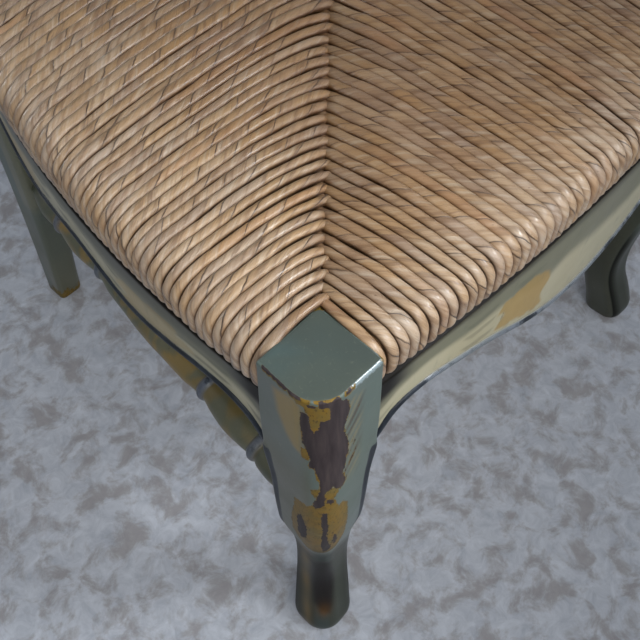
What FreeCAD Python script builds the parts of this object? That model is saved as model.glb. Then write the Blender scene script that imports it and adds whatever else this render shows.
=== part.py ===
import FreeCAD, Part
import math
import os

from FreeCAD import Vector, Matrix, Rotation, Placement

# Ladderback dining chair with a hand-woven rush seat.
# Millimetres, +Z up, the chair faces -Y, the feet stand on z = 0.
# The working frame has y = 0 half way between the front and rear posts; the
# whole chair is moved by Y_SHIFT at the end, so that the origin is the middle
# of its footprint box.

# ---------------------------------------------------------------- dimensions
SEAT_Z = 455.0          # top of the front posts, and crest of the rush
FRONT_X = 235.0         # half spacing of the front post centres
FRONT_Y = -215.0
REAR_X = 177.0          # half spacing of the rear post centres
REAR_Y = 215.0
POST_HALF = 22.6        # front post face to centre
REAR_HALF_X = 17.0
REAR_HALF_Y = 18.0

RUSH_TOP = 456.0        # upper face of the woven seat at the rails
RUSH_BOTTOM = 419.0
RUSH_T = 6.5            # thickness of one layer of rush
RAIL_W = 22.0           # seat rails under the rush
RAIL_Z0, RAIL_Z1 = 425.5, 449.5
RAIL_TENON_D = 14.0
RAIL_TENON_L = 17.0
RAIL_R = 9.5            # rounding of the rails, so that the rush bends softly
STUFF_TOP = 438.0       # upper face of the packing between the layers

FRONT_BOW = 13.5        # how far the front rail and apron bow forward
SIDE_BOW = 22.5         # and the side ones outward
SEAM_Y = 1.2            # the four seams of the seat meet here

APRON_T = 18.0
APRON_SET = 2.0         # apron face behind the post face
APRON_TOP = 418.0
APRON_TENON_T = 9.0
APRON_TENON_L = 13.0

SLAT_T = 11.0
SLAT_TENON = 15.0
SLAT_BOW = 20.0         # slats bow backward
SLAT_W = 0.865          # width of the slats' half profiles against the tables
SLAT_Z = (962.0, 832.0, 704.0, 578.0)   # heights of the slats' centres, crest first

STRETCH_Z = 212.0       # side stretchers' axis
REAR_STRETCH_Z = 250.0
PEG_D = 6.0
PEG_L = 20.0

Y_SHIFT = -34.011

ROOT2 = math.sqrt(0.5)

# depth below the post top, outer edge, inner edge, half width, and the radii
# of the inner corner, the two side corners and the outer corner
LEG = (
    (0.0, 26.6, -32.2, 32.7, 1.6, 1.2, 20.0),
    (22.0, 28.0, -32.5, 33.0, 1.8, 1.8, 18.6),
    (45.0, 30.4, -33.2, 33.5, 2.0, 2.6, 17.2),
    (72.0, 34.2, -34.4, 33.6, 2.4, 3.6, 16.0),
    (98.0, 38.0, -35.2, 32.3, 3.0, 4.6, 15.2),
    (125.0, 40.8, -34.4, 29.4, 5.0, 6.0, 15.0),
    (153.0, 41.8, -32.4, 27.8, 8.0, 8.0, 15.0),
    (182.0, 39.6, -31.4, 27.0, 11.0, 9.5, 15.0),
    (212.0, 33.4, -32.4, 26.6, 13.0, 11.0, 15.0),
    (243.0, 24.2, -35.6, 26.2, 14.0, 12.0, 14.5),
    (280.0, 12.2, -39.6, 24.6, 14.0, 12.5, 13.5),
    (320.0, 3.2, -42.4, 22.6, 13.5, 12.5, 12.5),
    (355.0, 1.6, -42.6, 21.4, 13.0, 12.5, 12.0),
    (385.0, 7.0, -39.0, 21.4, 13.0, 12.5, 14.0),
    (412.0, 18.0, -31.6, 22.8, 13.5, 13.0, 17.0),
    (434.0, 26.4, -25.0, 24.0, 14.0, 13.5, 19.0),
    (447.0, 28.6, -21.6, 23.6, 14.0, 13.5, 20.0),
    (455.0, 25.6, -19.4, 20.6, 13.0, 12.5, 19.0),
)

# height, offset to the rear, width and depth of the rear post's section
POST = (
    (0.0, 34.0, 28.0, 29.0),
    (60.0, 25.5, 29.0, 31.0),
    (140.0, 14.0, 31.0, 33.5),
    (230.0, 4.6, 33.0, 35.0),
    (330.0, 0.0, 34.0, 36.0),
    (455.0, 0.0, 34.0, 36.0),
    (530.0, 4.0, 33.0, 34.0),
    (630.0, 14.5, 32.0, 32.0),
    (740.0, 30.0, 30.5, 30.0),
    (860.0, 50.0, 29.0, 29.0),
    (960.0, 67.5, 28.0, 28.0),
    (1022.0, 78.5, 27.0, 27.0),
)

# lower edge of the front apron: distance from the post centre, depth below
# the post top; mirrored about the middle
FRONT_EDGE = ((20.0, 112.0), (29.0, 104.0), (38.0, 91.0), (50.0, 82.5), (66.0, 80.5), (83.0, 84.0),
              (104.0, 90.5), (126.0, 99.0), (160.0, 117.0), (197.0, 132.5), (FRONT_X, 138.0))
# lower edge of the side aprons: distance behind the front post centre, depth
SIDE_EDGE = ((20.0, 113.0), (28.0, 105.0), (36.0, 93.0), (47.0, 83.0), (66.0, 78.0), (93.0, 81.0),
             (125.0, 88.0), (151.0, 90.0), (176.0, 86.0), (215.0, 79.0), (254.0, 86.0), (279.0, 90.0),
             (305.0, 88.0), (337.0, 81.0), (364.0, 78.0), (383.0, 83.0), (394.0, 93.0), (402.0, 103.0),
             (409.0, 110.0))


# ------------------------------------------------------------------- helpers
def rounded(points, radii):
    """A closed wire round convex corners: one line and one arc per corner."""
    n = len(points)
    starts, mids, ends = [], [], []
    for i in range(n):
        p, a, b = points[i], points[i - 1], points[(i + 1) % n]
        u = (a - p).normalize()
        v = (b - p).normalize()
        half = math.acos(max(-1.0, min(1.0, u.dot(v)))) / 2.0
        r = radii[i]
        cut = r / math.tan(half)
        bis = (u + v).normalize()
        centre = p + bis * (r / math.sin(half))
        starts.append(p + u * cut)
        mids.append(centre - bis * r)
        ends.append(p + v * cut)
    edges = []
    for i in range(n):
        edges.append(Part.Arc(starts[i], mids[i], ends[i]).toShape())
        edges.append(Part.LineSegment(ends[i], starts[(i + 1) % n]).toShape())
    return Part.Wire(edges)


def leg_section(row, sx):
    h, outer, inner, half, r_in, r_side, r_out = row
    k = math.sqrt(2.0) - 1.0
    a_out = outer + k * r_out
    a_in = inner - k * r_in
    b = half + k * r_side
    mid = (a_out + a_in) / 2.0
    cx, cy = sx * FRONT_X, FRONT_Y
    out = Vector(sx * ROOT2, -ROOT2, 0)
    side = Vector(ROOT2, sx * ROOT2, 0)
    z = SEAT_Z - h
    base = Vector(cx, cy, z)
    pts = [base + out * a_in, base + out * mid + side * b, base + out * a_out, base + out * mid - side * b]
    return rounded(pts, [r_in, r_side, r_out, r_side])


def front_leg(sx):
    return Part.makeLoft([leg_section(row, sx) for row in reversed(LEG)], True, False, False)


def post_offset(z):
    for lo, hi in zip(POST, POST[1:]):
        if lo[0] <= z <= hi[0]:
            t = (z - lo[0]) / (hi[0] - lo[0])
            return lo[1] + t * (hi[1] - lo[1])
    return POST[-1][1]


def rear_post(sx):
    wires = []
    for z, off, wx, wy in POST:
        c = Vector(sx * REAR_X, REAR_Y + off, z)
        pts = [c + Vector(-wx / 2, -wy / 2, 0), c + Vector(wx / 2, -wy / 2, 0),
               c + Vector(wx / 2, wy / 2, 0), c + Vector(-wx / 2, wy / 2, 0)]
        wires.append(rounded(pts, [6.0] * 4))
    body = Part.makeLoft(wires, True, False, False)
    rake = math.atan2(POST[-1][1] - POST[-2][1], POST[-1][0] - POST[-2][0])
    prof = ((0.0, -6.0), (11.6, -6.0), (11.6, 1.0), (8.4, 5.0), (8.0, 7.5), (11.2, 9.4), (12.6, 12.2),
            (11.2, 15.0), (8.0, 17.0), (8.2, 19.5), (11.0, 24.0), (13.6, 31.0), (13.9, 37.0),
            (11.8, 44.0), (7.6, 49.0), (3.4, 51.6), (0.0, 52.2))
    lower = [Vector(r, 0, z) for r, z in prof[:3]]
    curve = Part.BSplineCurve()
    curve.interpolate([Vector(r, 0, z) for r, z in prof[2:]])
    edges = [Part.LineSegment(lower[0], lower[1]).toShape(), Part.LineSegment(lower[1], lower[2]).toShape(),
             curve.toShape(), Part.LineSegment(Vector(0, 0, prof[-1][1]), lower[0]).toShape()]
    finial = Part.Face(Part.Wire(edges)).revolve(Vector(0, 0, 0), Vector(0, 0, 1), 360)
    if not isinstance(finial, Part.Solid):
        finial = Part.makeSolid(Part.Shell(finial.Faces)) if finial.ShapeType != "Solid" else finial
    finial.Placement = Placement(Vector(sx * REAR_X, REAR_Y + POST[-1][1], POST[-1][0]),
                                 Rotation(Vector(1, 0, 0), -math.degrees(rake)))
    return body.fuse(finial).removeSplitter()


class Arc:
    """Concentric arcs over a chord; positive offsets lie towards the seat's middle."""

    def __init__(self, p0, p1, sag, inward):
        chord = p1 - p0
        length = chord.Length
        self.r = (length * length / 4.0 + sag * sag) / (2.0 * sag)
        mid = (p0 + p1) * 0.5
        self.c = mid + inward * (self.r - sag)
        self.a0 = math.atan2(p0.y - self.c.y, p0.x - self.c.x)
        a1 = math.atan2(p1.y - self.c.y, p1.x - self.c.x)
        self.span = (a1 - self.a0 + math.pi) % (2 * math.pi) - math.pi

    def point(self, t, off=0.0, z=0.0):
        a = self.a0 + self.span * t
        return Vector(self.c.x + (self.r - off) * math.cos(a), self.c.y + (self.r - off) * math.sin(a), z)

    def tangent(self, t):
        a = self.a0 + self.span * t
        s = 1.0 if self.span > 0 else -1.0
        return Vector(-math.sin(a) * s, math.cos(a) * s, 0)

    def strip(self, off0, off1, ext0, ext1, z0, z1):
        t0 = -ext0 / (abs(self.span) * self.r)
        t1 = 1.0 + ext1 / (abs(self.span) * self.r)
        tm = (t0 + t1) / 2.0
        outer = Part.Arc(self.point(t0, off0, z0), self.point(tm, off0, z0), self.point(t1, off0, z0)).toShape()
        inner = Part.Arc(self.point(t1, off1, z0), self.point(tm, off1, z0), self.point(t0, off1, z0)).toShape()
        e1 = Part.LineSegment(self.point(t1, off0, z0), self.point(t1, off1, z0)).toShape()
        e2 = Part.LineSegment(self.point(t0, off1, z0), self.point(t0, off0, z0)).toShape()
        return Part.Face(Part.Wire([outer, e1, inner, e2])).extrude(Vector(0, 0, z1 - z0))


def box(x0, x1, y0, y1, z0, z1):
    return Part.makeBox(x1 - x0, y1 - y0, z1 - z0, Vector(x0, y0, z0))


def spline_edge(points):
    curve = Part.BSplineCurve()
    curve.interpolate(points)
    return curve.toShape()


def below(points, depth_axis, far, base, direction):
    """A prism that holds everything above a lower edge curve."""
    edge = spline_edge(points)
    p0, p1 = points[0], points[-1]
    top0 = Vector(p0.x, p0.y, far)
    top1 = Vector(p1.x, p1.y, far)
    face = Part.Face(Part.Wire([edge, Part.LineSegment(p1, top1).toShape(),
                                Part.LineSegment(top1, top0).toShape(),
                                Part.LineSegment(top0, p0).toShape()]))
    return face.extrude(direction)


def turned(p0, p1, profile):
    """A turned bar: profile is (distance along, radius), closed on the axis."""
    length = (p1 - p0).Length
    pts = [Vector(r, 0, s) for s, r in profile]
    edges = [Part.LineSegment(Vector(0, 0, pts[0].z), pts[0]).toShape()]
    for a, b in zip(pts, pts[1:]):
        edges.append(Part.LineSegment(a, b).toShape())
    edges.append(Part.LineSegment(pts[-1], Vector(0, 0, pts[-1].z)).toShape())
    edges.append(Part.LineSegment(Vector(0, 0, pts[-1].z), Vector(0, 0, pts[0].z)).toShape())
    solid = Part.Face(Part.Wire(edges)).revolve(Vector(0, 0, 0), Vector(0, 0, 1), 360)
    if solid.ShapeType != "Solid":
        solid = Part.makeSolid(Part.Shell(solid.Faces))
    direction = (p1 - p0).normalize()
    solid.Placement = Placement(p0, Rotation(Vector(0, 0, 1), direction))
    return solid


def one_solid(shape):
    solids = sorted(shape.Solids, key=lambda s: -s.Volume)
    return solids[0]


parts = {}

# --------------------------------------------------------------- seat rails
front_base = Arc(Vector(-FRONT_X + POST_HALF, FRONT_Y - POST_HALF, 0), Vector(FRONT_X - POST_HALF, FRONT_Y - POST_HALF, 0),
                 FRONT_BOW, Vector(0, 1, 0))
side_p0 = Vector(FRONT_X + POST_HALF, FRONT_Y + POST_HALF, 0)
side_p1 = Vector(REAR_X + REAR_HALF_X - 0.5, REAR_Y - REAR_HALF_Y, 0)
side_chord = (side_p1 - side_p0).normalize()
side_in = Vector(-side_chord.y, side_chord.x, 0)
side_base = Arc(side_p0, side_p1, SIDE_BOW, side_in)
RAIL_OFF = RUSH_T


def rail(arc, ext0, ext1):
    body = arc.strip(RAIL_OFF, RAIL_OFF + RAIL_W, ext0, ext1, RAIL_Z0, RAIL_Z1)
    mid = (RAIL_Z0 + RAIL_Z1) / 2.0
    off = RAIL_OFF + RAIL_W / 2.0
    length = abs(arc.span) * arc.r
    long_edges = [e for e in body.Edges if e.Length > 100.0]
    body = body.makeFillet(RAIL_R, long_edges)
    for t, sgn, ext in ((0.0, -1.0, ext0), (1.0, 1.0, ext1)):
        tt = t + sgn * (ext - 3.0) / length
        p = arc.point(tt, off, mid)
        d = arc.tangent(t) * sgn
        body = body.fuse(Part.makeCylinder(RAIL_TENON_D / 2.0, RAIL_TENON_L + 3.0, p, d))
    return one_solid(body.removeSplitter())


parts["seat_rail_front"] = rail(front_base, 1.2, 1.2)
parts["seat_rail_right"] = rail(side_base, 1.2, 1.2)
parts["seat_rail_left"] = parts["seat_rail_right"].mirror(Vector(0, 0, 0), Vector(1, 0, 0))

rear_y0 = REAR_Y + REAR_HALF_Y - RUSH_T - RAIL_W
back = box(-REAR_X + REAR_HALF_X - 1.2, REAR_X - REAR_HALF_X + 1.2, rear_y0, rear_y0 + RAIL_W, RAIL_Z0, RAIL_Z1)
back = back.makeFillet(RAIL_R, [e for e in back.Edges if e.Length > 100.0])
for s in (-1, 1):
    back = back.fuse(Part.makeCylinder(RAIL_TENON_D / 2.0, 17.0, Vector(s * (REAR_X - REAR_HALF_X - 2.0), rear_y0 + RAIL_W / 2.0,
                                       (RAIL_Z0 + RAIL_Z1) / 2.0), Vector(s, 0, 0)))
parts["seat_rail_back"] = one_solid(back.removeSplitter())

# ------------------------------------------------------------------- aprons
strip = front_base.strip(APRON_SET, APRON_SET + APRON_T, 2.0, 2.0, 300.0, APRON_TOP)
left = [Vector(-FRONT_X + t, FRONT_Y - 60.0, SEAT_Z - d) for t, d in FRONT_EDGE]
right = [Vector(-p.x, p.y, p.z) for p in reversed(left[:-1])]
above = below(left + right, None, APRON_TOP + 5.0, None, Vector(0, 90.0, 0))
apron = one_solid(strip.common(above))
for s in (-1, 1):
    x0 = s * (FRONT_X - POST_HALF + APRON_TENON_L)
    x1 = s * (FRONT_X - POST_HALF - 3.0)
    y0 = FRONT_Y - POST_HALF + APRON_SET + 4.5
    apron = apron.fuse(box(min(x0, x1), max(x0, x1), y0, y0 + APRON_TENON_T, SEAT_Z - 84.0, APRON_TOP - 5.0))
parts["apron_front"] = one_solid(apron.removeSplitter())

strip = side_base.strip(APRON_SET, APRON_SET + APRON_T, 2.0, 2.0, 300.0, APRON_TOP)
pts = [Vector(FRONT_X + 60.0, FRONT_Y + t, SEAT_Z - d) for t, d in SIDE_EDGE]
above = below(pts, None, APRON_TOP + 5.0, None, Vector(-160.0, 0, 0))
apron = one_solid(strip.common(above))
length = abs(side_base.span) * side_base.r
for t, sgn in ((0.0, -1.0), (1.0, 1.0)):
    p = side_base.point(t - sgn * 3.0 / length, APRON_SET + 4.5, SEAT_Z - 76.0)
    d = side_base.tangent(t) * sgn
    n = (side_base.c - side_base.point(t)).normalize()
    q = Vector(p.x, p.y, p.z)
    run = (APRON_TENON_L + 3.0)
    quad = Part.Face(Part.makePolygon([q, q + d * run, q + d * run + n * APRON_TENON_T, q + n * APRON_TENON_T, q]))
    apron = apron.fuse(quad.extrude(Vector(0, 0, 34.0)))
parts["apron_right"] = one_solid(apron.removeSplitter())
parts["apron_left"] = parts["apron_right"].mirror(Vector(0, 0, 0), Vector(1, 0, 0))

# --------------------------------------------------------------- stretchers
SIDE_TURN = ((0.0, 8.0), (14.0, 8.0), (20.0, 9.6), (31.0, 12.4), (45.0, 14.4), (56.0, 13.8), (61.6, 12.2), (63.0, 13.9),
             (66.0, 14.9), (69.0, 13.9), (70.4, 12.4), (78.0, 13.4), (98.0, 15.2), (118.0, 13.4), (129.4, 11.6),
             (131.0, 12.9), (134.0, 13.8), (137.0, 12.9), (138.6, 11.8), (156.0, 14.2), (182.0, 15.2), (206.0, 16.2))
rear_hit = Vector(REAR_X, REAR_Y + post_offset(STRETCH_Z), STRETCH_Z)
leg_mid = (LEG[9][1] + LEG[9][2]) / 2.0
front_hit = Vector(FRONT_X - 1.5 + ROOT2 * leg_mid, FRONT_Y - ROOT2 * leg_mid, STRETCH_Z)
axis = (rear_hit - front_hit)
full = axis.Length
unit = axis.normalize()
start = front_hit + unit * 6.0
span = full - 12.0
prof = [(s, r) for s, r in SIDE_TURN]
prof = prof + [(span - s, r) for s, r in reversed(SIDE_TURN)]
parts["stretcher_right"] = turned(start, start + unit * span, prof)
parts["stretcher_left"] = parts["stretcher_right"].mirror(Vector(0, 0, 0), Vector(1, 0, 0))

mid_point = start + unit * (span / 2.0)
cross_half = mid_point.x - 7.0
CROSS_TURN = ((0.0, 8.0), (10.0, 8.0), (14.0, 9.2), (40.0, 10.8), (70.0, 12.6), (88.0, 11.6), (90.0, 14.2), (93.5, 15.2),
              (97.0, 14.2), (99.0, 11.6), (115.0, 13.4), (135.0, 14.6), (155.0, 13.2), (168.0, 11.6), (170.0, 14.2),
              (173.5, 15.4), (177.0, 14.2), (179.0, 12.0), (194.0, 14.8))
cprof = list(CROSS_TURN) + [(2 * cross_half - s, r) for s, r in reversed(CROSS_TURN)]
parts["cross_stretcher"] = turned(Vector(-cross_half, mid_point.y, STRETCH_Z), Vector(cross_half, mid_point.y, STRETCH_Z), cprof)

rear_half = REAR_X - 5.0
ry = REAR_Y + post_offset(REAR_STRETCH_Z)
RTURN = ((0.0, 8.0), (14.0, 8.0), (20.0, 9.0), (60.0, 10.6), (100.0, 12.4), (116.0, 11.4), (118.0, 13.8), (121.5, 14.8), (125.0, 13.8),
         (127.0, 11.6), (150.0, 12.8), (168.0, 13.8))
rprof = list(RTURN) + [(2 * rear_half - s, r) for s, r in reversed(RTURN)]
parts["stretcher_back"] = turned(Vector(-rear_half, ry, REAR_STRETCH_Z), Vector(rear_half, ry, REAR_STRETCH_Z), rprof)

# -------------------------------------------------------------------- slats
# half profiles, from the middle to the post: x, upper edge, lower edge
CREST = (((0, 62.0), (22, 60.0), (45, 53.5), (68, 44.5), (92, 38.5), (118, 38.0), (142, 40.0), (160, 37.0), (174, 28.0), (186, 22.0), (206, 20.0)),
         ((0, -20.0), (26, -21.5), (52, -25.5), (80, -31.0), (108, -33.5), (134, -31.0), (156, -26.0), (176, -23.0), (206, -22.0)))
LADDER = (((0, 40.0), (22, 38.5), (46, 33.0), (70, 26.5), (95, 23.0), (120, 23.5), (144, 25.0), (164, 22.5), (180, 19.0), (206, 18.0)),
          ((0, -15.0), (26, -16.5), (52, -20.5), (80, -25.5), (108, -28.0), (134, -26.5), (156, -22.5), (178, -20.0), (206, -19.0)))


def slat(zc, shape, tilt):
    inner = REAR_X - 14.5
    reach = inner + SLAT_TENON
    arc = Arc(Vector(-inner, -0.01, 0), Vector(inner, -0.01, 0), SLAT_BOW, Vector(0, -1, 0))
    body = arc.strip(-SLAT_T / 2.0, SLAT_T / 2.0, SLAT_TENON - 4.0, SLAT_TENON - 4.0, -80.0, 90.0)
    upper, lower = shape
    up = [Vector(x * SLAT_W, -60.0, z) for x, z in upper]
    up = [Vector(-p.x, p.y, p.z) for p in reversed(up[1:])] + up
    lo = [Vector(x * SLAT_W, -60.0, z) for x, z in lower]
    lo = [Vector(-p.x, p.y, p.z) for p in reversed(lo[1:])] + lo
    face = Part.Face(Part.Wire([spline_edge(up), Part.LineSegment(up[-1], lo[-1]).toShape(), spline_edge(lo),
                                Part.LineSegment(lo[0], up[0]).toShape()]))
    body = one_solid(body.common(face.extrude(Vector(0, 140.0, 0))))
    body.Placement = Placement(Vector(0, REAR_Y + post_offset(zc), zc), Rotation(Vector(1, 0, 0), -tilt))
    return body


slat_names = ("crest_slat", "ladder_slat_2", "ladder_slat_3", "ladder_slat_4")
tilts = []
for name, zc in zip(slat_names, SLAT_Z):
    tilt = math.degrees(math.atan2(post_offset(zc + 25.0) - post_offset(zc - 25.0), 50.0))
    tilts.append(tilt)
    parts[name] = slat(zc, CREST if name == "crest_slat" else LADDER, tilt)

# --------------------------------------------------- pegs through the slats
pegs = []
for zc, tilt in zip(SLAT_Z, tilts):
    for s in (-1, 1):
        d = Vector(0, -math.cos(math.radians(tilt)), math.sin(math.radians(tilt)))
        n = Vector(0, math.sin(math.radians(tilt)), math.cos(math.radians(tilt)))
        c = Vector(s * (REAR_X - 6.5), REAR_Y + post_offset(zc), zc)
        pegs.append(Part.makeCylinder(PEG_D / 2.0, PEG_L, c - d * 16.0, d))

# -------------------------------------------------------------------- posts
males = [parts[n] for n in parts]
for name, sx in (("front_leg_left", -1), ("front_leg_right", 1)):
    leg = front_leg(sx)
    near = [m for m in males if m.BoundBox.intersect(leg.BoundBox)]
    for m in near:
        leg = leg.cut(m)
    parts[name] = one_solid(leg)
for name, sx in (("back_post_left", -1), ("back_post_right", 1)):
    post = rear_post(sx)
    near = [m for m in males + pegs if m.BoundBox.intersect(post.BoundBox)]
    for m in near:
        post = post.cut(m)
    parts[name] = one_solid(post)
for name in slat_names:
    body = parts[name]
    for peg in pegs:
        if peg.BoundBox.intersect(body.BoundBox):
            body = body.cut(peg)
    parts[name] = one_solid(body)
kept = []
for peg in pegs:
    kept.append(peg)
parts["slat_pegs"] = Part.makeCompound(kept)
for name in ("stretcher_right", "stretcher_left"):
    parts[name] = one_solid(parts[name].cut(parts["cross_stretcher"]))

# --------------------------------------------------------------------- rush
# each panel is one folded layer: over the rail, round its outer side and back
# underneath, mitred to its neighbours along the diagonal seams
Tf = Vector(FRONT_X - POST_HALF - 0.2, FRONT_Y + POST_HALF + 0.2, 0)
Tr = Vector(REAR_X - REAR_HALF_X - 0.2, REAR_Y - REAR_HALF_Y - 0.2, 0)
M = Vector(0, SEAM_Y, 0)
GAP = 0.15


def prism(points, z0, z1):
    pts = [Vector(p.x, p.y, z0) for p in points]
    return Part.Face(Part.makePolygon(pts + [pts[0]])).extrude(Vector(0, 0, z1 - z0))


def panel(wedge, outer_strip_full, void):
    body = outer_strip_full.common(wedge)
    body = body.cut(void)
    return one_solid(body)


all_posts = [parts[n] for n in ("front_leg_left", "front_leg_right", "back_post_left", "back_post_right")]

# the whole seat slab, bounded by the four outer lines
fo = front_base
so = side_base
slab_edges = []
fa = Part.Arc(fo.point(0.0, 0.4), fo.point(0.5, 0.4), fo.point(1.0, 0.4)).toShape()
ra = Part.Arc(so.point(0.0, 0.4), so.point(0.5, 0.4), so.point(1.0, 0.4)).toShape()
la = ra.mirror(Vector(0, 0, 0), Vector(1, 0, 0))
P = lambda v: Vector(v.x, v.y, 0)
f0, f1 = fo.point(0.0, 0.4), fo.point(1.0, 0.4)
r0, r1 = so.point(0.0, 0.4), so.point(1.0, 0.4)
back_y = REAR_Y + REAR_HALF_Y - 0.4
bi = REAR_X - REAR_HALF_X - 0.2
loop = [fa,
        Part.LineSegment(P(f1), Tf).toShape(), Part.LineSegment(Tf, P(r0)).toShape(), ra,
        Part.LineSegment(P(r1), Tr).toShape(), Part.LineSegment(Tr, Vector(bi, back_y, 0)).toShape(),
        Part.LineSegment(Vector(bi, back_y, 0), Vector(-bi, back_y, 0)).toShape(),
        Part.LineSegment(Vector(-bi, back_y, 0), Vector(-Tr.x, Tr.y, 0)).toShape(),
        Part.LineSegment(Vector(-Tr.x, Tr.y, 0), Vector(-r1.x, r1.y, 0)).toShape(), la,
        Part.LineSegment(Vector(-r0.x, r0.y, 0), Vector(-Tf.x, Tf.y, 0)).toShape(),
        Part.LineSegment(Vector(-Tf.x, Tf.y, 0), P(f0)).toShape()]
slab_face = Part.Face(Part.Wire(Part.__sortEdges__(loop)))
slab = slab_face.extrude(Vector(0, 0, RUSH_BOTTOM * 0 + (RUSH_TOP - RUSH_BOTTOM)))
slab.translate(Vector(0, 0, RUSH_BOTTOM))

far = 400.0
wf = prism([M + Vector(0, -GAP, 0), M + (Tf - M) * 2.0 + Vector(0, -GAP, 0), Vector(-(M + (Tf - M) * 2.0).x, (M + (Tf - M) * 2.0).y - GAP, 0)],
           RUSH_BOTTOM - 1, RUSH_TOP + 1)
wb = prism([M + Vector(0, GAP, 0), M + (Tr - M) * 2.2 + Vector(0, GAP, 0), Vector(-(M + (Tr - M) * 2.2).x, (M + (Tr - M) * 2.2).y + GAP, 0)],
           RUSH_BOTTOM - 1, RUSH_TOP + 1)
Fr = M + (Tf - M) * 2.0
Br = M + (Tr - M) * 2.2
wr = prism([M + Vector(GAP, 0, 0), Fr + Vector(GAP, 0, 0), Vector(far, Fr.y, 0), Vector(far, Br.y, 0), Br + Vector(GAP, 0, 0)],
           RUSH_BOTTOM - 1, RUSH_TOP + 1)

z_in0, z_in1 = RAIL_Z0, RAIL_Z1
void_f = front_base.strip(RUSH_T, 300.0, 20.0, 20.0, z_in0, z_in1)
void_r = side_base.strip(RUSH_T, 300.0, 60.0, 60.0, z_in0, z_in1)
void_b = box(-300.0, 300.0, -50.0, REAR_Y + REAR_HALF_Y - RUSH_T, z_in0, z_in1)
parts["rush_front"] = panel(wf, slab, void_f)
parts["rush_back"] = panel(wb, slab, void_b)
parts["rush_right"] = panel(wr, slab, void_r)
parts["rush_left"] = parts["rush_right"].mirror(Vector(0, 0, 0), Vector(1, 0, 0))
rails = [parts[n] for n in ("seat_rail_front", "seat_rail_right", "seat_rail_left", "seat_rail_back")]
for name in ("rush_front", "rush_back", "rush_right", "rush_left"):
    body = parts[name]
    for other in all_posts + rails:
        if other.BoundBox.intersect(body.BoundBox):
            body = body.cut(other)
    parts[name] = one_solid(body)

# packing between the two layers, inside the rails
pack = [(186, -208), (204, -184), (207, -60), (192, 60), (158, 174), (146, 192)]
outline = [Vector(x, y, 0) for x, y in pack] + [Vector(-x, y, 0) for x, y in reversed(pack)]
parts["seat_stuffing"] = prism(outline, RAIL_Z0 + 0.2, STUFF_TOP)

# ------------------------------------------------------------------- export
shift = Vector(0, Y_SHIFT, 0)
os.makedirs("parts", exist_ok=True)
total = Part.makeCompound(list(parts.values()))
bb = total.BoundBox
print("box x %.2f %.2f  y %.2f %.2f  z %.2f %.2f" % (bb.XMin, bb.XMax, bb.YMin, bb.YMax, bb.ZMin, bb.ZMax))
print("y shift that centres the box: %.3f" % (-(bb.YMin + bb.YMax) / 2.0))
for name, shape in parts.items():
    shape = shape.copy()
    shape.translate(shift)
    ok = shape.isValid()
    b = shape.BoundBox
    print("%-18s %-9s solids %d faces %3d volume %11.1f valid %s  x %.1f %.1f y %.1f %.1f" % (
        name, shape.ShapeType, len(shape.Solids), len(shape.Faces), shape.Volume, ok, b.XMin, b.XMax, b.YMin, b.YMax))
    shape.exportStep("parts/%s.step" % name)
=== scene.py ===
import math

import bpy
import numpy as np
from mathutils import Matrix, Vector


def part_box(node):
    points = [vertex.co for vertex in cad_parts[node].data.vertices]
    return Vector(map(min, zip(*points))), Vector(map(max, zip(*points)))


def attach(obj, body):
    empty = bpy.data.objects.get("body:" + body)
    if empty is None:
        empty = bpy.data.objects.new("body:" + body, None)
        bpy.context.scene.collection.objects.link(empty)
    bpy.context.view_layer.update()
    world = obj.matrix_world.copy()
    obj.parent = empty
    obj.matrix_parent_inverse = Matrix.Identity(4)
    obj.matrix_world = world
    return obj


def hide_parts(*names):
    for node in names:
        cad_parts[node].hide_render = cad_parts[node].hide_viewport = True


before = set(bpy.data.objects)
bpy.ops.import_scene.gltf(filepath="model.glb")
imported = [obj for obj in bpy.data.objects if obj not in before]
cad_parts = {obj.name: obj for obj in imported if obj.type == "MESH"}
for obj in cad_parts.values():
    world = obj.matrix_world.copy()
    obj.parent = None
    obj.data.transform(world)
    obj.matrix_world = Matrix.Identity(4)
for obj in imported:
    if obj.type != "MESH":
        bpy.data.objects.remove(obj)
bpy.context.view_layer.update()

# Everything below is worked out in millimetres in the chair's working frame,
# whose y = 0 is half way between the front and rear posts, and written to the
# meshes in metres in the row frame. The feet and rails of the CAD model give
# the offset between the two.
lo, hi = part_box("seat_rail_back")
YS = hi[1] * 1000.0 - (215.0 + 18.0 - 6.5)

SEAT_Z = 455.0
FX, FY = 235.0, -215.0
RX, RY = 177.0, 215.0
PH = 22.6
RHX, RHY = 17.0, 18.0
R2 = math.sqrt(0.5)


# ------------------------------------------------------------------ helpers
def pchip(xs, ys, x):
    """Smooth monotone interpolation through a table."""
    xs = np.asarray(xs, float)
    ys = np.asarray(ys, float)
    h = np.diff(xs)
    d = np.diff(ys) / h
    m = np.zeros_like(ys)
    m[0], m[-1] = d[0], d[-1]
    for i in range(1, len(xs) - 1):
        if d[i - 1] * d[i] <= 0:
            m[i] = 0.0
        else:
            w1, w2 = 2 * h[i] + h[i - 1], h[i] + 2 * h[i - 1]
            m[i] = (w1 + w2) / (w1 / d[i - 1] + w2 / d[i])
    x = np.clip(np.asarray(x, float), xs[0], xs[-1])
    k = np.clip(np.searchsorted(xs, x, side="right") - 1, 0, len(h) - 1)
    t = (x - xs[k]) / h[k]
    return ((2 * t**3 - 3 * t**2 + 1) * ys[k] + (t**3 - 2 * t**2 + t) * h[k] * m[k]
            + (-2 * t**3 + 3 * t**2) * ys[k + 1] + (t**3 - t**2) * h[k] * m[k + 1])


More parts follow.
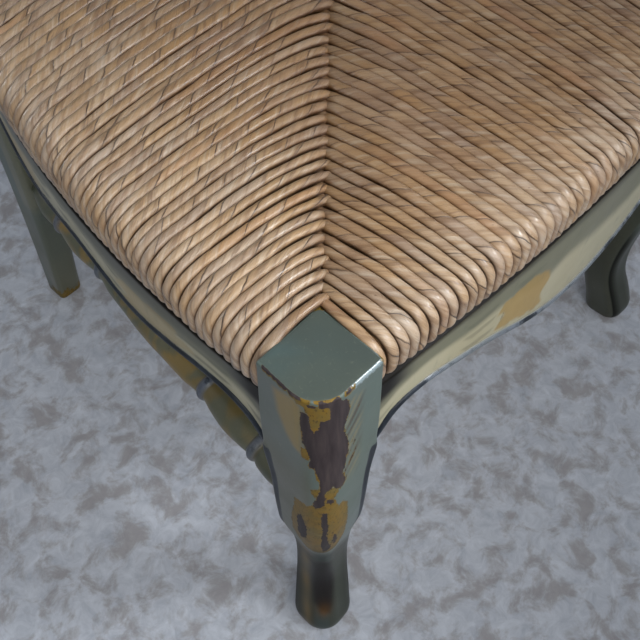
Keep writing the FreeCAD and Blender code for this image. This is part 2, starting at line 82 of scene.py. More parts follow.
def cubic(xs, ys, x):
    """Natural cubic spline through a table."""
    xs = np.asarray(xs, float)
    ys = np.asarray(ys, float)
    n = len(xs)
    h = np.diff(xs)
    A = np.zeros((n, n))
    b = np.zeros(n)
    A[0, 0] = A[-1, -1] = 1.0
    for i in range(1, n - 1):
        A[i, i - 1], A[i, i], A[i, i + 1] = h[i - 1], 2 * (h[i - 1] + h[i]), h[i]
        b[i] = 3 * ((ys[i + 1] - ys[i]) / h[i] - (ys[i] - ys[i - 1]) / h[i - 1])
    c = np.linalg.solve(A, b)
    x = np.clip(np.asarray(x, float), xs[0], xs[-1])
    k = np.clip(np.searchsorted(xs, x, side="right") - 1, 0, n - 2)
    t = x - xs[k]
    bb = (ys[k + 1] - ys[k]) / h[k] - h[k] * (2 * c[k] + c[k + 1]) / 3
    dd = (c[k + 1] - c[k]) / (3 * h[k])
    return ys[k] + bb * t + c[k] * t * t + dd * t**3


def sstep(a, b, x):
    t = np.clip((np.asarray(x, float) - a) / (b - a), 0.0, 1.0)
    return t * t * (3 - 2 * t)


class Noise1:
    """Smooth repeatable noise along a line."""

    def __init__(self, rng, step, length):
        self.step = step
        self.v = rng.uniform(-1, 1, int(length / step) + 6)

    def __call__(self, s):
        s = np.clip(np.asarray(s, float) / self.step, 0, len(self.v) - 2.001)
        i = s.astype(int)
        t = s - i
        t = t * t * (3 - 2 * t)
        return self.v[i] * (1 - t) + self.v[i + 1] * t


class Builder:
    """Collects grids of points into one mesh, with point attributes and one UV layer."""

    def __init__(self):
        self.v, self.f, self.uv, self.attr, self.n = [], [], [], {}, 0

    def grid(self, P, close=True, cap0=True, cap1=True, uv=None, **attrs):
        """P is rows x columns x 3 in working millimetres; attributes are rows x columns (x 3)."""
        R, C = P.shape[:2]
        base = self.n
        self.v.append(P.reshape(-1, 3))
        idx = base + np.arange(R * C).reshape(R, C)
        nc = C if close else C - 1
        j0 = np.arange(nc)
        j1 = (j0 + 1) % C
        a, b = idx[:-1][:, j0], idx[:-1][:, j1]
        c, d = idx[1:][:, j1], idx[1:][:, j0]
        quads = np.stack([a, b, c, d], -1).reshape(-1, 4)
        self.f.append(quads)
        if uv is None:
            U = np.repeat(np.arange(R)[:, None], C + 1, 1) * 1.0
        else:
            U = np.repeat(np.asarray(uv, float)[:, None], C + 1, 1)
        V = np.repeat((np.arange(C + 1) / C)[None], R, 0)
        UV = np.stack([U, V], -1)
        q = np.stack([UV[:-1][:, j0], UV[:-1][:, j0 + 1], UV[1:][:, j0 + 1], UV[1:][:, j0]], 2).reshape(-1, 4, 2)
        self.uv.append(q.reshape(-1, 2))
        self.n += R * C
        ends = [r for r, flag in ((0, cap0), (-1, cap1)) if flag and close]
        for r in ends:
            row = idx[r]
            self.v.append(P[r].mean(0)[None])
            hub = np.full(nc, self.n)
            self.n += 1
            self.f.append(np.stack([row[j1], row[j0], hub] if r == 0 else [row[j0], row[j1], hub], -1))
            tuv = np.stack([np.full((nc, 3), U[r][0]), np.repeat((j0 / C)[:, None], 3, 1)], -1)
            self.uv.append(tuv.reshape(-1, 2))
        for k, val in attrs.items():
            val = np.asarray(val, float)
            flat = [val.reshape(R * C, *val.shape[2:])] + [val[r].mean(0)[None] for r in ends]
            self.attr.setdefault(k, []).extend(flat)
        return idx

    def build(self, name, material, smooth=True, replaces=(), scale=0.001):
        V = np.concatenate(self.v).astype(np.float64)
        V = (V + np.array([0.0, YS, 0.0])) * scale
        me = bpy.data.meshes.new(name)
        counts, loops = [], []
        for f in self.f:
            counts.append(np.full(len(f), f.shape[1]))
            loops.append(f.reshape(-1))
        counts = np.concatenate(counts)
        loops = np.concatenate(loops)
        me.vertices.add(len(V))
        me.vertices.foreach_set("co", V.astype(np.float32).ravel())
        me.loops.add(len(loops))
        me.loops.foreach_set("vertex_index", loops.astype(np.int32))
        me.polygons.add(len(counts))
        starts = np.concatenate([[0], np.cumsum(counts)[:-1]])
        me.polygons.foreach_set("loop_start", starts.astype(np.int32))
        me.polygons.foreach_set("loop_total", counts.astype(np.int32))
        me.update(calc_edges=True)
        me.validate()
        uvl = me.uv_layers.new(name="UVMap")
        uvl.data.foreach_set("uv", np.concatenate(self.uv).astype(np.float32).ravel())
        for k, parts in self.attr.items():
            if not parts:
                continue
            val = np.concatenate(parts)
            if val.ndim == 1:
                at = me.attributes.new(k, "FLOAT", "POINT")
                at.data.foreach_set("value", val.astype(np.float32))
            else:
                at = me.attributes.new(k, "FLOAT_COLOR", "POINT")
                rgba = np.ones((len(val), 4), np.float32)
                rgba[:, :3] = val
                at.data.foreach_set("color", rgba.ravel())
        me.polygons.foreach_set("use_smooth", np.full(len(counts), smooth))
        vol = 0.0
        for f in self.f:
            for i in range(1, f.shape[1] - 1):
                vol += float(np.einsum("ij,ij->i", V[f[:, 0]], np.cross(V[f[:, i]], V[f[:, i + 1]])).sum())
        if vol < 0:
            me.flip_normals()
        me.update()
        ob = bpy.data.objects.new(name, me)
        bpy.context.scene.collection.objects.link(ob)
        ob.data.materials.append(material)
        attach(ob, "root")
        if replaces:
            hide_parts(*replaces)
        return ob


def rounded_ring(pts, radii, n_arc, n_line):
    """Points round a convex polygon with rounded corners; same count for every section."""
    out = []
    n = len(pts)
    data = []
    for i in range(n):
        p, a, b = pts[i], pts[i - 1], pts[(i + 1) % n]
        u = (a - p) / np.linalg.norm(a - p)
        v = (b - p) / np.linalg.norm(b - p)
        half = math.acos(max(-1, min(1, float(u @ v)))) / 2
        r = radii[i]
        cut = r / math.tan(half)
        bis = (u + v) / np.linalg.norm(u + v)
        centre = p + bis * (r / math.sin(half))
        data.append((p + u * cut, p + v * cut, centre, r))
    for i in range(n):
        s, e, c, r = data[i]
        a = s - c
        b = e - c
        ang = math.acos(max(-1, min(1, float(a @ b) / (r * r))))
        for k in range(n_arc):
            t = k / n_arc
            out.append(c + (a * math.sin((1 - t) * ang) + b * math.sin(t * ang)) / math.sin(ang))
        nxt = data[(i + 1) % n][0]
        for k in range(n_line):
            t = k / n_line
            out.append(e * (1 - t) + nxt * t)
    return np.array(out)


# ---------------------------------------------------------------- materials
class Nodes:
    def __init__(self, name):
        self.mat = bpy.data.materials.new(name)
        self.mat.use_nodes = True
        self.nt = self.mat.node_tree
        self.nt.nodes.clear()
        self.out = self.n("ShaderNodeOutputMaterial")
        self.bsdf = self.n("ShaderNodeBsdfPrincipled")
        self.nt.links.new(self.bsdf.outputs[0], self.out.inputs[0])

    def n(self, kind, **props):
        node = self.nt.nodes.new(kind)
        for k, v in props.items():
            setattr(node, k, v)
        return node

    def link(self, a, b):
        self.nt.links.new(a, b)

    def put(self, sock, value):
        if isinstance(value, bpy.types.NodeSocket):
            self.link(value, sock)
        else:
            sock.default_value = value

    def math(self, op, a, b=0.0, c=0.0, clamp=False):
        m = self.n("ShaderNodeMath", operation=op, use_clamp=clamp)
        self.put(m.inputs[0], a)
        self.put(m.inputs[1], b)
        if op in ("MULTIPLY_ADD", "SMOOTH_MIN", "SMOOTH_MAX", "COMPARE", "WRAP", "PINGPONG"):
            self.put(m.inputs[2], c)
        return m.outputs[0]

    def rng(self, v, a, b, c=0.0, d=1.0, smooth=True):
        m = self.n("ShaderNodeMapRange", interpolation_type="SMOOTHSTEP" if smooth else "LINEAR")
        self.put(m.inputs["Value"], v)
        self.put(m.inputs["From Min"], a)
        self.put(m.inputs["From Max"], b)
        self.put(m.inputs["To Min"], c)
        self.put(m.inputs["To Max"], d)
        return m.outputs[0]

    def mix(self, f, a, b, blend="MIX"):
        m = self.n("ShaderNodeMix", data_type="RGBA", blend_type=blend)
        self.put(m.inputs[0], f)
        for sock, v in ((m.inputs[6], a), (m.inputs[7], b)):
            if isinstance(v, (tuple, list)):
                sock.default_value = (*v, 1.0) if len(v) == 3 else v
            else:
                self.put(sock, v)
        return m.outputs[2]

    def fmix(self, f, a, b):
        m = self.n("ShaderNodeMix", data_type="FLOAT")
        self.put(m.inputs[0], f)
        self.put(m.inputs[2], a)
        self.put(m.inputs[3], b)
        return m.outputs[0]

    def noise(self, vec, scale, detail=4.0, rough=0.55, dist=0.0, out=0, w=None):
        m = self.n("ShaderNodeTexNoise")
        if w is not None:
            m.noise_dimensions = "4D"
            self.put(m.inputs["W"], w)
        self.put(m.inputs["Vector"], vec)
        m.inputs["Scale"].default_value = scale
        m.inputs["Detail"].default_value = detail
        m.inputs["Roughness"].default_value = rough
        m.inputs["Distortion"].default_value = dist
        return m.outputs[out]

    def white(self, v, dims="1D", out=0):
        m = self.n("ShaderNodeTexWhiteNoise", noise_dimensions=dims)
        self.put(m.inputs["W" if dims == "1D" else "Vector"], v)
        return m.outputs[out]

    def scale(self, vec, s):
        m = self.n("ShaderNodeVectorMath", operation="MULTIPLY")
        self.put(m.inputs[0], vec)
        m.inputs[1].default_value = s
        return m.outputs[0]

    def ramp(self, f, stops, interp="LINEAR"):
        m = self.n("ShaderNodeValToRGB")
        m.color_ramp.interpolation = interp
        els = m.color_ramp.elements
        while len(els) < len(stops):
            els.new(0.5)
        for e, (p, c) in zip(els, stops):
            e.position = p
            e.color = (*c, 1.0)
        self.put(m.inputs[0], f)
        return m.outputs[0]

    def comb(self, x, y, z):
        m = self.n("ShaderNodeCombineXYZ")
        for i, v in enumerate((x, y, z)):
            self.put(m.inputs[i], v)
        return m.outputs[0]

    def attr(self, name, out="Fac"):
        m = self.n("ShaderNodeAttribute", attribute_type="GEOMETRY", attribute_name=name)
        return m.outputs[out]

    def coord(self, out="Object"):
        return self.n("ShaderNodeTexCoord").outputs[out]

    def bump(self, height, strength, distance, normal=None):
        m = self.n("ShaderNodeBump")
        m.inputs["Strength"].default_value = strength
        m.inputs["Distance"].default_value = distance
        self.put(m.inputs["Height"], height)
        if normal is not None:
            self.link(normal, m.inputs["Normal"])
        return m.outputs[0]


def srgb(r, g, b):
    def f(c):
        c /= 255.0
        return c / 12.92 if c <= 0.04045 else ((c + 0.055) / 1.055) ** 2.4
    return (f(r), f(g), f(b))


def rush_material(name, dark=0.0):
    """A twisted strand of dried leaf: helical leaf edges, fine fibres, mixed tan, gold and grey tints."""
    m = Nodes(name)
    uv = m.n("ShaderNodeUVMap", uv_map="UVMap").outputs[0]
    sep = m.n("ShaderNodeSeparateXYZ")
    m.link(uv, sep.inputs[0])
    hel = m.math("SUBTRACT", sep.outputs[1], sep.outputs[0])
    sid = m.attr("sid")
    s = m.attr("along")
    wob = m.noise(m.comb(m.math("MULTIPLY", s, 0.06), sid, 0.0), 1.0, 3.0, 0.6)
    hel = m.math("ADD", hel, m.math("MULTIPLY", m.math("SUBTRACT", wob, 0.5), 0.22))
    wrap = m.math("FLOOR", hel)
    frac = m.math("FRACT", hel)
    key = m.math("ADD", m.math("MULTIPLY", wrap, 0.731), sid)
    r1 = m.white(key)
    r2 = m.white(m.math("ADD", key, 17.37))
    rs = m.white(m.math("MULTIPLY", sid, 3.17))
    # fibres run with the twist
    fib = m.comb(m.math("MULTIPLY", s, 0.03), m.math("MULTIPLY", hel, 9.0), key)
    fine = m.noise(fib, 3.2, 5.0, 0.65)
    streak = m.noise(m.comb(m.math("MULTIPLY", s, 0.012), m.math("MULTIPLY", hel, 3.2), m.math("ADD", key, 5.0)), 2.0, 3.0, 0.55)
    patch = m.noise(m.comb(m.math("MULTIPLY", s, 0.035), m.math("MULTIPLY", hel, 1.2), m.math("MULTIPLY", sid, 7.0)), 1.0, 2.0, 0.5)
    pal = m.ramp(m.math("ADD", m.math("MULTIPLY", r1, 0.66), m.math("MULTIPLY", patch, 0.38)), [
        (0.02, srgb(120, 96, 74)), (0.20, srgb(162, 130, 98)), (0.34, srgb(182, 146, 100)), (0.50, srgb(168, 130, 82)),
        (0.64, srgb(186, 156, 118)), (0.80, srgb(150, 122, 96)), (0.96, srgb(194, 170, 140))])
    col = m.mix(m.math("MULTIPLY", rs, 0.40), pal, srgb(150, 122, 92))
    col = m.mix(m.rng(streak, 0.50, 0.66, 0.0, 0.62), col, srgb(116, 86, 56))
    col = m.mix(m.rng(streak, 0.30, 0.46, 0.44, 0.0), col, srgb(204, 188, 164))
    col = m.mix(m.rng(fine, 0.52, 0.70, 0.0, 0.60), col, srgb(104, 78, 52))
    # pale lengths of leaf, brightened further near the rails as painted sheen
    col = m.mix(m.math("MULTIPLY", m.attr("pale"), m.rng(streak, 0.40, 0.60, 0.9, 0.35)), col, srgb(190, 176, 162))
    col = m.mix(m.math("MULTIPLY", m.attr("warm"), m.rng(patch, 0.30, 0.60, 0.45, 0.9)), col, srgb(180, 126, 78))
    # a few brown flecks
    fleck = m.noise(m.comb(m.math("MULTIPLY", s, 0.25), m.math("MULTIPLY", hel, 9.0), m.math("MULTIPLY", sid, 3.0)), 1.0, 3.0, 0.6)
    col = m.mix(m.rng(fleck, 0.66, 0.76, 0.0, 0.62), col, srgb(82, 56, 34))
    # the leaf's free edge winds round the strand as a thin dark line
    present = m.rng(r2, 0.18, 0.24, 0.0, 1.0)
    edge = m.math("MULTIPLY", m.rng(frac, 0.0, 0.060, 1.0, 0.0), present)
    shade = m.math("MULTIPLY", m.rng(frac, 0.82, 1.0, 0.0, 1.0), present)
    col = m.mix(m.math("MULTIPLY", shade, 0.30), col, srgb(100, 74, 48))
    col = m.mix(m.math("MULTIPLY", edge, 0.92), col, srgb(48, 32, 20))
    # painted shade: the flanks, where strands lie against each other, are darkened and warmed
    flank = m.attr("flank")
    col = m.mix(m.rng(flank, 0.0, 0.55, 0.0, 0.62, smooth=False), col, srgb(92, 60, 34))
    col = m.mix(m.rng(flank, 0.38, 0.90, 0.0, 0.80), col, srgb(44, 29, 18))
    # painted shade in the valley at the seam and on the first strands beside the posts
    ends = m.attr("deep")
    col = m.mix(m.math("MULTIPLY", ends, 0.62), col, srgb(76, 46, 24))
    # painted shade: the middle of the seat is darkened, away from the front corner, standing in for the light falling
    # off
    col = m.mix(m.math("MULTIPLY", m.attr("used"), 0.36), col, srgb(92, 56, 26))
    m.link(col, m.bsdf.inputs["Base Color"])
    m.link(m.rng(fine, 0.2, 0.8, 0.24, 0.46, smooth=False), m.bsdf.inputs["Roughness"])
    m.bsdf.inputs["Specular IOR Level"].default_value = 0.62
    m.bsdf.inputs["Coat Weight"].default_value = 0.55
    m.bsdf.inputs["Coat Roughness"].default_value = 0.24
    step = m.math("MULTIPLY", m.rng(frac, 0.0, 0.05, 0.0, 1.0), 1.0)
    height = m.math("ADD", m.math("MULTIPLY", m.math("MULTIPLY", step, present), 0.6), m.math("MULTIPLY", fine, 0.60))
    height = m.math("ADD", height, m.math("MULTIPLY", streak, 1.0))
    m.link(m.bump(height, 0.85, 0.0010), m.bsdf.inputs["Normal"])
    return m.mat


def paint_material(name, seed=0.0, ochre=0.5, gloss=0.34):
    """Grey-green paint over cream and ochre over dark wood, rubbed through where 'wear' is high."""
    m = Nodes(name)
    pos = m.coord("Object")
    coat = m.attr("coat", "Color")
    wear = m.attr("wear")
    tall = m.scale(pos, (1.0, 1.0, 0.30))
    n_big = m.noise(tall, 42.0, 5.0, 0.62, 0.4, w=seed)
    n_mid = m.noise(tall, 120.0, 6.0, 0.68, 0.6, w=seed + 3.0)
    n_fine = m.noise(m.scale(pos, (1.0, 1.0, 0.45)), 520.0, 4.0, 0.65, 0.3, w=seed + 9.0)
    soft = m.noise(pos, 16.0, 4.0, 0.6, 0.2, w=seed + 21.0)
    chips = m.math("MULTIPLY", m.math("SUBTRACT", n_big, 0.5), 0.55)
    chips = m.math("ADD", chips, m.math("MULTIPLY", m.math("SUBTRACT", n_mid, 0.5), 0.60))
    chips = m.math("ADD", chips, m.math("MULTIPLY", m.math("SUBTRACT", n_fine, 0.5), 0.52))
    mask_src = m.math("ADD", wear, chips)
    bare_src = m.math("ADD", m.attr("bare"), chips)
    m_wood = m.rng(bare_src, 0.50, 0.535)
    n_rim = m.noise(pos, 150.0, 3.0, 0.6, 0.2, w=seed + 15.0)
    m_under = m.math("MAXIMUM", m.rng(mask_src, 0.50, 0.535), m.rng(m.math("ADD", bare_src, m.math("MULTIPLY", m.math("SUBTRACT", n_rim, 0.5), 0.30)), 0.475, 0.50))
    # top coat, lightly mottled
    col = m.mix(m.rng(soft, 0.35, 0.65, 0.0, 0.30), coat, m.mix(0.5, coat, srgb(112, 116, 96)))
    col = m.mix(m.rng(n_mid, 0.52, 0.70, 0.0, 0.22), col, srgb(70, 78, 70))
    col = m.mix(m.rng(n_fine, 0.56, 0.75, 0.0, 0.14), col, srgb(150, 150, 128))
    # the coat below it
    under = m.ramp(m.noise(pos, 60.0, 4.0, 0.6, 0.3, w=seed + 30.0), [
        (0.30, srgb(84, 68, 28)), (0.45, srgb(120, 94, 32)), (0.58, srgb(104, 88, 42)), (0.72, srgb(120, 106, 64))])
    under = m.mix(m.rng(n_fine, 0.53, 0.64, 0.0, 0.65), under, srgb(56, 44, 26))
    under = m.mix(m.rng(n_mid, 0.56, 0.68, 0.0, 0.45), under, srgb(90, 84, 58))
    col = m.mix(m_under, col, under)
    wood = m.ramp(m.noise(m.scale(pos, (1.0, 1.0, 0.08)), 260.0, 5.0, 0.6, 0.2, w=seed + 44.0), [
        (0.30, srgb(44, 37, 38)), (0.50, srgb(57, 49, 50)), (0.70, srgb(70, 61, 59))])
    col = m.mix(m_wood, col, wood)
    # thin dark grime at the chips' rims
    rim = m.math("MULTIPLY", m.rng(mask_src, 0.485, 0.50), m.math("SUBTRACT", 1.0, m.rng(mask_src, 0.50, 0.52)))
    col = m.mix(m.math("MULTIPLY", rim, 0.45), col, srgb(58, 52, 40))
    dark = m.attr("line")
    dmask = m.rng(m.math("ADD", dark, m.math("MULTIPLY", m.math("SUBTRACT", n_mid, 0.5), 0.55)), 0.42, 0.58)
    navy = m.mix(m.rng(n_big, 0.35, 0.65), srgb(32, 36, 42), srgb(50, 56, 64))
    col = m.mix(dmask, col, navy)
    # painted shade: the colour is darkened towards near-black by the shade attribute
    col = m.mix(m.attr("dim"), col, srgb(22, 20, 20))
    m.link(col, m.bsdf.inputs["Base Color"])
    matt = m.math("MAXIMUM", m.math("MAXIMUM", m_under, m_wood), dmask)
    shine = m.attr("shine")
    dull = m.math("SUBTRACT", 1.0, m.attr("dim"), clamp=True)
    m.link(m.fmix(shine, m.math("MULTIPLY", dull, m.fmix(matt, 0.14, 0.02)), 1.0), m.bsdf.inputs["Coat Weight"])
    m.link(m.fmix(shine, m.math("MULTIPLY", dull, m.fmix(matt, 0.40, 0.20)), 1.0), m.bsdf.inputs["Specular IOR Level"])
    rough = m.fmix(m_under, m.rng(soft, 0.3, 0.7, gloss - 0.05, gloss + 0.09, smooth=False), 0.46)
    rough = m.fmix(m_wood, rough, 0.58)
    rough = m.fmix(dmask, rough, 0.42)
    rough = m.fmix(shine, rough, 0.17)
    m.link(rough, m.bsdf.inputs["Roughness"])
    m.bsdf.inputs["Coat Roughness"].default_value = 0.22
    height = m.math("SUBTRACT", 1.0, m.math("ADD", m.math("MULTIPLY", m_under, 0.5), m.math("MULTIPLY", m_wood, 0.4)))
    height = m.math("ADD", height, m.math("MULTIPLY", n_fine, 0.10))
    height = m.math("ADD", height, m.math("MULTIPLY", soft, 0.25))
    m.link(m.bump(height, 0.5, 0.0005), m.bsdf.inputs["Normal"])
    return m.mat


def wood_material(name, a, b, scale=1.0):
    m = Nodes(name)
    pos = m.coord("Object")
    g = m.noise(m.scale(pos, (1.0, 1.0, 1.0)), 90.0 * scale, 6.0, 0.65, 1.2)
    fine = m.noise(pos, 600.0 * scale, 3.0, 0.6)
    col = m.ramp(g, [(0.3, a), (0.7, b)])
    col = m.mix(m.rng(fine, 0.55, 0.75, 0.0, 0.3), col, tuple(c * 0.5 for c in a))
    m.link(col, m.bsdf.inputs["Base Color"])
    m.link(m.rng(fine, 0.2, 0.8, 0.5, 0.7, smooth=False), m.bsdf.inputs["Roughness"])
    m.link(m.bump(g, 0.3, 0.0004), m.bsdf.inputs["Normal"])
    return m.mat


MAT_RUSH = rush_material("rush_twisted")
MAT_PAINT = paint_material("paint_distressed", 0.0)
MAT_PAINT_B = paint_material("paint_distressed_back", 5.0)
MAT_WOOD = wood_material("bare_wood", srgb(120, 88, 58), srgb(160, 124, 84))
MAT_STUFF = wood_material("packed_rush_ends", srgb(96, 74, 46), srgb(138, 108, 70), 2.5)

# the colours of the paint, from the photograph's look
GREEN = np.array(srgb(80, 93, 88))
ASH = np.array(srgb(86, 93, 88))
GREEN_D = np.array(srgb(84, 90, 76))
OLIVE = np.array(srgb(84, 84, 62))
KHAKI = np.array(srgb(134, 126, 98))
CREAM = np.array(srgb(160, 154, 128))
OCHRE = np.array(srgb(146, 118, 58))
EARTH = np.array(srgb(134, 113, 66))
UMBER = np.array(srgb(70, 60, 48))


def lerp(a, b, t):
    t = np.asarray(t)[..., None]
    return a * (1 - t) + b * t


# ------------------------------------------------------------------- the rush
# Strands are counted from the posts. They lie closer together at the seams
# near the front posts than on the rails, so they fan out a little.
HALF_F, HALF_B, GROUP_B = 29, 25, 25
SEAM_Y = 1.2
SIDE_SPLIT = 4.0          # on the side rails the front and rear groups meet here
Z_CREST = 449.8          # centre line of the top layer at the rails
Z_UNDER = 422.3
TF = np.array([FX - 23.2, FY + 23.4])     # where the front seams start
TR = np.array([RX - RHX, RY - RHY])


def arc_of(p0, p1, sag, inward):
    chord = p1 - p0
    L = np.linalg.norm(chord)
    r = (L * L / 4 + sag * sag) / (2 * sag)
    return (p0 + p1) / 2 + inward * (r - sag), r


F_C, F_R = arc_of(np.array([-FX + PH, FY - PH]), np.array([FX - PH, FY - PH]), 13.5, np.array([0.0, 1.0]))
_p0, _p1 = np.array([FX + PH, FY + PH]), np.array([RX + RHX - 0.5, RY - RHY])
_ch = (_p1 - _p0) / np.linalg.norm(_p1 - _p0)
S_C, S_R = arc_of(_p0, _p1, 22.5, np.array([-_ch[1], _ch[0]]))


def on_rail(t):
    return 1.05 * t - 0.10 * t * t + 0.05 * t**3


def on_side(t):
    return 1.06 * t - 0.06 * t * t


def seam_top(reach, kk):
    """Height of the front strands' centre line where they reach the seam."""
    return Z_CREST + 12.0 * (1 - math.exp(-reach / 45.0)) - 3.0 - 5.0 * (1 - math.exp(-(kk + 0.5) / 2.2))


def on_seam(t):
    return 0.84 * t + 0.16 * t**2.4


def strand_plan(panel, k):
    """Rail end and seam end of a strand, its widths there, its direction, and its number from the post."""
    if panel == "front":
        n = 2 * HALF_F
        kk = min(k, n - 1 - k)
        sgn = -1.0 if k < HALF_F else 1.0
        t = (kk + 0.5) / HALF_F
        xr = (FX - PH) * (1 - on_rail(t))
        xs = TF[0] * (1 - on_seam(t))
        ys = TF[1] + on_seam(t) * (SEAM_Y - TF[1])
        wr = (FX - PH) / HALF_F * (1.05 - 0.20 * t + 0.15 * t * t)
        ws = TF[0] / HALF_F * (0.84 + 0.384 * t**1.4)
        y_out = F_C[1] - math.sqrt(F_R**2 - xr**2)
        return np.array([sgn * xr, y_out]), np.array([sgn * xs, ys]), wr, ws, np.array([1.0, 0.0]), -sgn, kk
    if panel == "back":
        n = 2 * HALF_B
        kk = min(k, n - 1 - k)
        sgn = -1.0 if k < HALF_B else 1.0
        t = (kk + 0.5) / HALF_B
        x = TR[0] * (1 - t)
        w = TR[0] / HALF_B
        return (np.array([sgn * x, RY + RHY - 0.4]), np.array([sgn * x, TR[1] - t * (TR[1] - SEAM_Y)]), w, w,
                np.array([-1.0, 0.0]), sgn, kk)
    sx = -1.0 if panel == "left" else 1.0
    if k < HALF_F:
        kk, t = k, (k + 0.5) / HALF_F
        yr = FY + PH + (SIDE_SPLIT - FY - PH) * on_side(t)
        ys = TF[1] + (SEAM_Y - TF[1]) * on_seam(t)
        xs = TF[0] * (1 - on_seam(t))
        wr = (SIDE_SPLIT - FY - PH) / HALF_F * (1.06 - 0.12 * t)
        ws = (SEAM_Y - TF[1]) / HALF_F * (0.84 + 0.384 * t**1.4)
        side = 1.0
    else:
        kk = HALF_F + GROUP_B - 1 - k
        t = (kk + 0.5) / GROUP_B
        yr = TR[1] - t * (TR[1] - SIDE_SPLIT)
        ys = TR[1] - t * (TR[1] - SEAM_Y)
        xs = TR[0] * (1 - t)
        wr = ws = (TR[1] - SEAM_Y) / GROUP_B
        side = -1.0
    xr = S_C[0] + math.sqrt(S_R**2 - (yr - S_C[1]) ** 2) - 0.2
    return np.array([sx * xr, yr]), np.array([sx * xs, ys]), wr, ws, np.array([0.0, 1.0]), side, kk


def rush_strand(B, panel, k, rng, fine):
    rail, seam, wr, ws, lat_dir, away, kk = strand_plan(panel, k)
    over = panel in ("left", "right")
    plan = seam - rail
    reach = np.linalg.norm(plan)
    inward = plan / reach
    rx, rz = (12.5, 12.0) if panel in ("front", "back") else (28.0, 17.5)
    bulge = 2.6 * math.exp(-kk / 9.0) if over else 0.0
    e = 3.3 - bulge                                   # half thickness, so that the outside lies on the edge line
    rx = min(rx, max(6.0, 0.62 * (reach - e)))
    ext = rng.uniform(3.0, 7.2) if over else 7.0
    if kk == 0 and over:
        ext += 1.5
    bulk = rng.uniform(-0.08, 0.10)
    stand = rng.uniform(-0.6, 0.6) + 2.0 * bulk
    rise, run = (16.0, 50.0) if over else (12.0, 40.0)
    deep = Z_CREST + rise * (1 - math.exp(-reach / run)) - seam_top(reach, kk) - (2.2 if over else 0.0)
    wide = min(66.0 if over else 58.0, 0.62 * reach)
    us = [np.linspace(reach + ext, e + rx, 110)]

    def top_z(u):
        d = reach - u
        near = np.clip((wide - np.maximum(d, 0)) / wide, 0, 1)
        crown = rise * (1 - np.exp(-np.maximum(u, 0) / run))
        z = Z_CREST + stand + crown - deep * near**1.9
        if over:
            return z - 4.6 * np.clip((9.5 - (d + ext)) / 9.5, 0, 1) ** 1.9
        return z - 1.0 * sstep(7.0, -2.0, d)
    zs = [top_z(us[0])]
    a = np.linspace(0, math.pi / 2, 24)[1:]
    z_turn = zs[0][-1]
    us.append(e + rx - rx * np.sin(a))
    zs.append(z_turn - rz + rz * np.cos(a))
    r2 = 8.5
    us.append(np.linspace(e, e, 6)[1:])
    zs.append(np.linspace(z_turn - rz, Z_UNDER + r2, 6)[1:])
    b = np.linspace(0, math.pi / 2, 14)[1:]
    us.append(e + r2 - r2 * np.cos(b))
    zs.append(Z_UNDER + r2 - r2 * np.sin(b))
    end_u = reach + 2.0
    if end_u > e + r2 + 2:
        us.append(np.linspace(e + r2, end_u, 40)[1:])
        dd = reach - us[-1]
        zs.append(Z_UNDER + 3.0 * np.clip((8.0 - dd) / 8.0, 0, 1.3) ** 1.5)
    U = np.concatenate(us)
    Z = np.concatenate(zs)
    S = np.concatenate([[0], np.cumsum(np.hypot(np.diff(U), np.diff(Z)))])
    total = S[-1]
    s_under = S[110 + 23 + 5 + 13 - 1]
    ds_top = 2.0 if fine else 3.4
    s = np.concatenate([[0.0, 0.12, 0.4, 0.8, 1.3, 1.9, 2.6, 3.4, 4.3, 5.4, 6.8, 8.2] if fine else [0.0, 0.3, 0.9, 1.7, 2.7, 3.9, 5.4, 7.2], np.arange(9, s_under, ds_top),
                        np.linspace(s_under, total, max(3, int((total - s_under) / 5.5)))])
    u = np.interp(s, S, U)
    z = np.interp(s, S, Z)
    f = u / reach
    x = rail[0] + plan[0] * f
    y = rail[1] + plan[1] * f
    n_lat, n_h, n_w, n_t = (Noise1(rng, st, total) for st in (30.0, 22.0, 16.0, 40.0))
    d_seam = reach - u
    top = s < s_under
    pitch = wr + (ws - wr) * np.clip(f, 0, 1)
    shift = away * 0.24 * pitch * np.clip((20.0 - d_seam) / 20.0, 0, 1.2) ** 1.3 * (-1.0 if over else 1.0)
    lat = 0.42 * n_lat(s) * np.clip(kk / 2.0, 0.25, 1) + np.where(top, shift, 0.0)
    if kk == 0:
        lat = lat - np.where(top, away * (0.10 if over else 0.13) * pitch, 0.0)
    x = x + lat * abs(lat_dir[0])
    y = y + lat * abs(lat_dir[1])
    z = z + 0.24 * n_h(s)
    P = np.stack([x, y, z], -1)
    T = np.gradient(P, axis=0)
    T /= np.linalg.norm(T, axis=1)[:, None]
    Bv = np.array([-inward[1], inward[0], 0.0])
    Bv = Bv[None] - (T @ Bv)[:, None] * T
    Bv /= np.linalg.norm(Bv, axis=1)[:, None]
    N = np.cross(Bv, T)
    outward = -np.array([inward[0], inward[1], 0.0])
    if (N @ outward)[np.argmin(np.abs(z - 435.0))] < 0:
        N, Bv = -N, -Bv
    w = pitch * (1.035 + bulk + 0.09 * n_w(s))
    h = (5.6 + 0.12 * pitch) * (1.0 + 0.6 * bulk + 0.06 * n_t(s))
    if over:
        tau = np.maximum(d_seam + ext, 0.0)
        pin = (1 - 0.06 * np.clip((12.0 - tau) / 12.0, 0, 1)) * np.sqrt(np.maximum(1 - (1 - np.clip(tau / 3.8, 0, 1)) ** 2, 0.02))
    else:
        pin = 1 - 0.12 * np.clip((2.0 - d_seam) / 8.0, 0, 1)
    pin = np.where(top, pin, 1.0)
    w = w * pin
    h = h * np.where(top, 1 - 0.9 * (1 - pin), 1.0)
    if kk == 0:
        h = h * np.where(top, 0.86, 1.0)
        w = w * np.where(top, 1.0 if over else 0.95, 1.0)
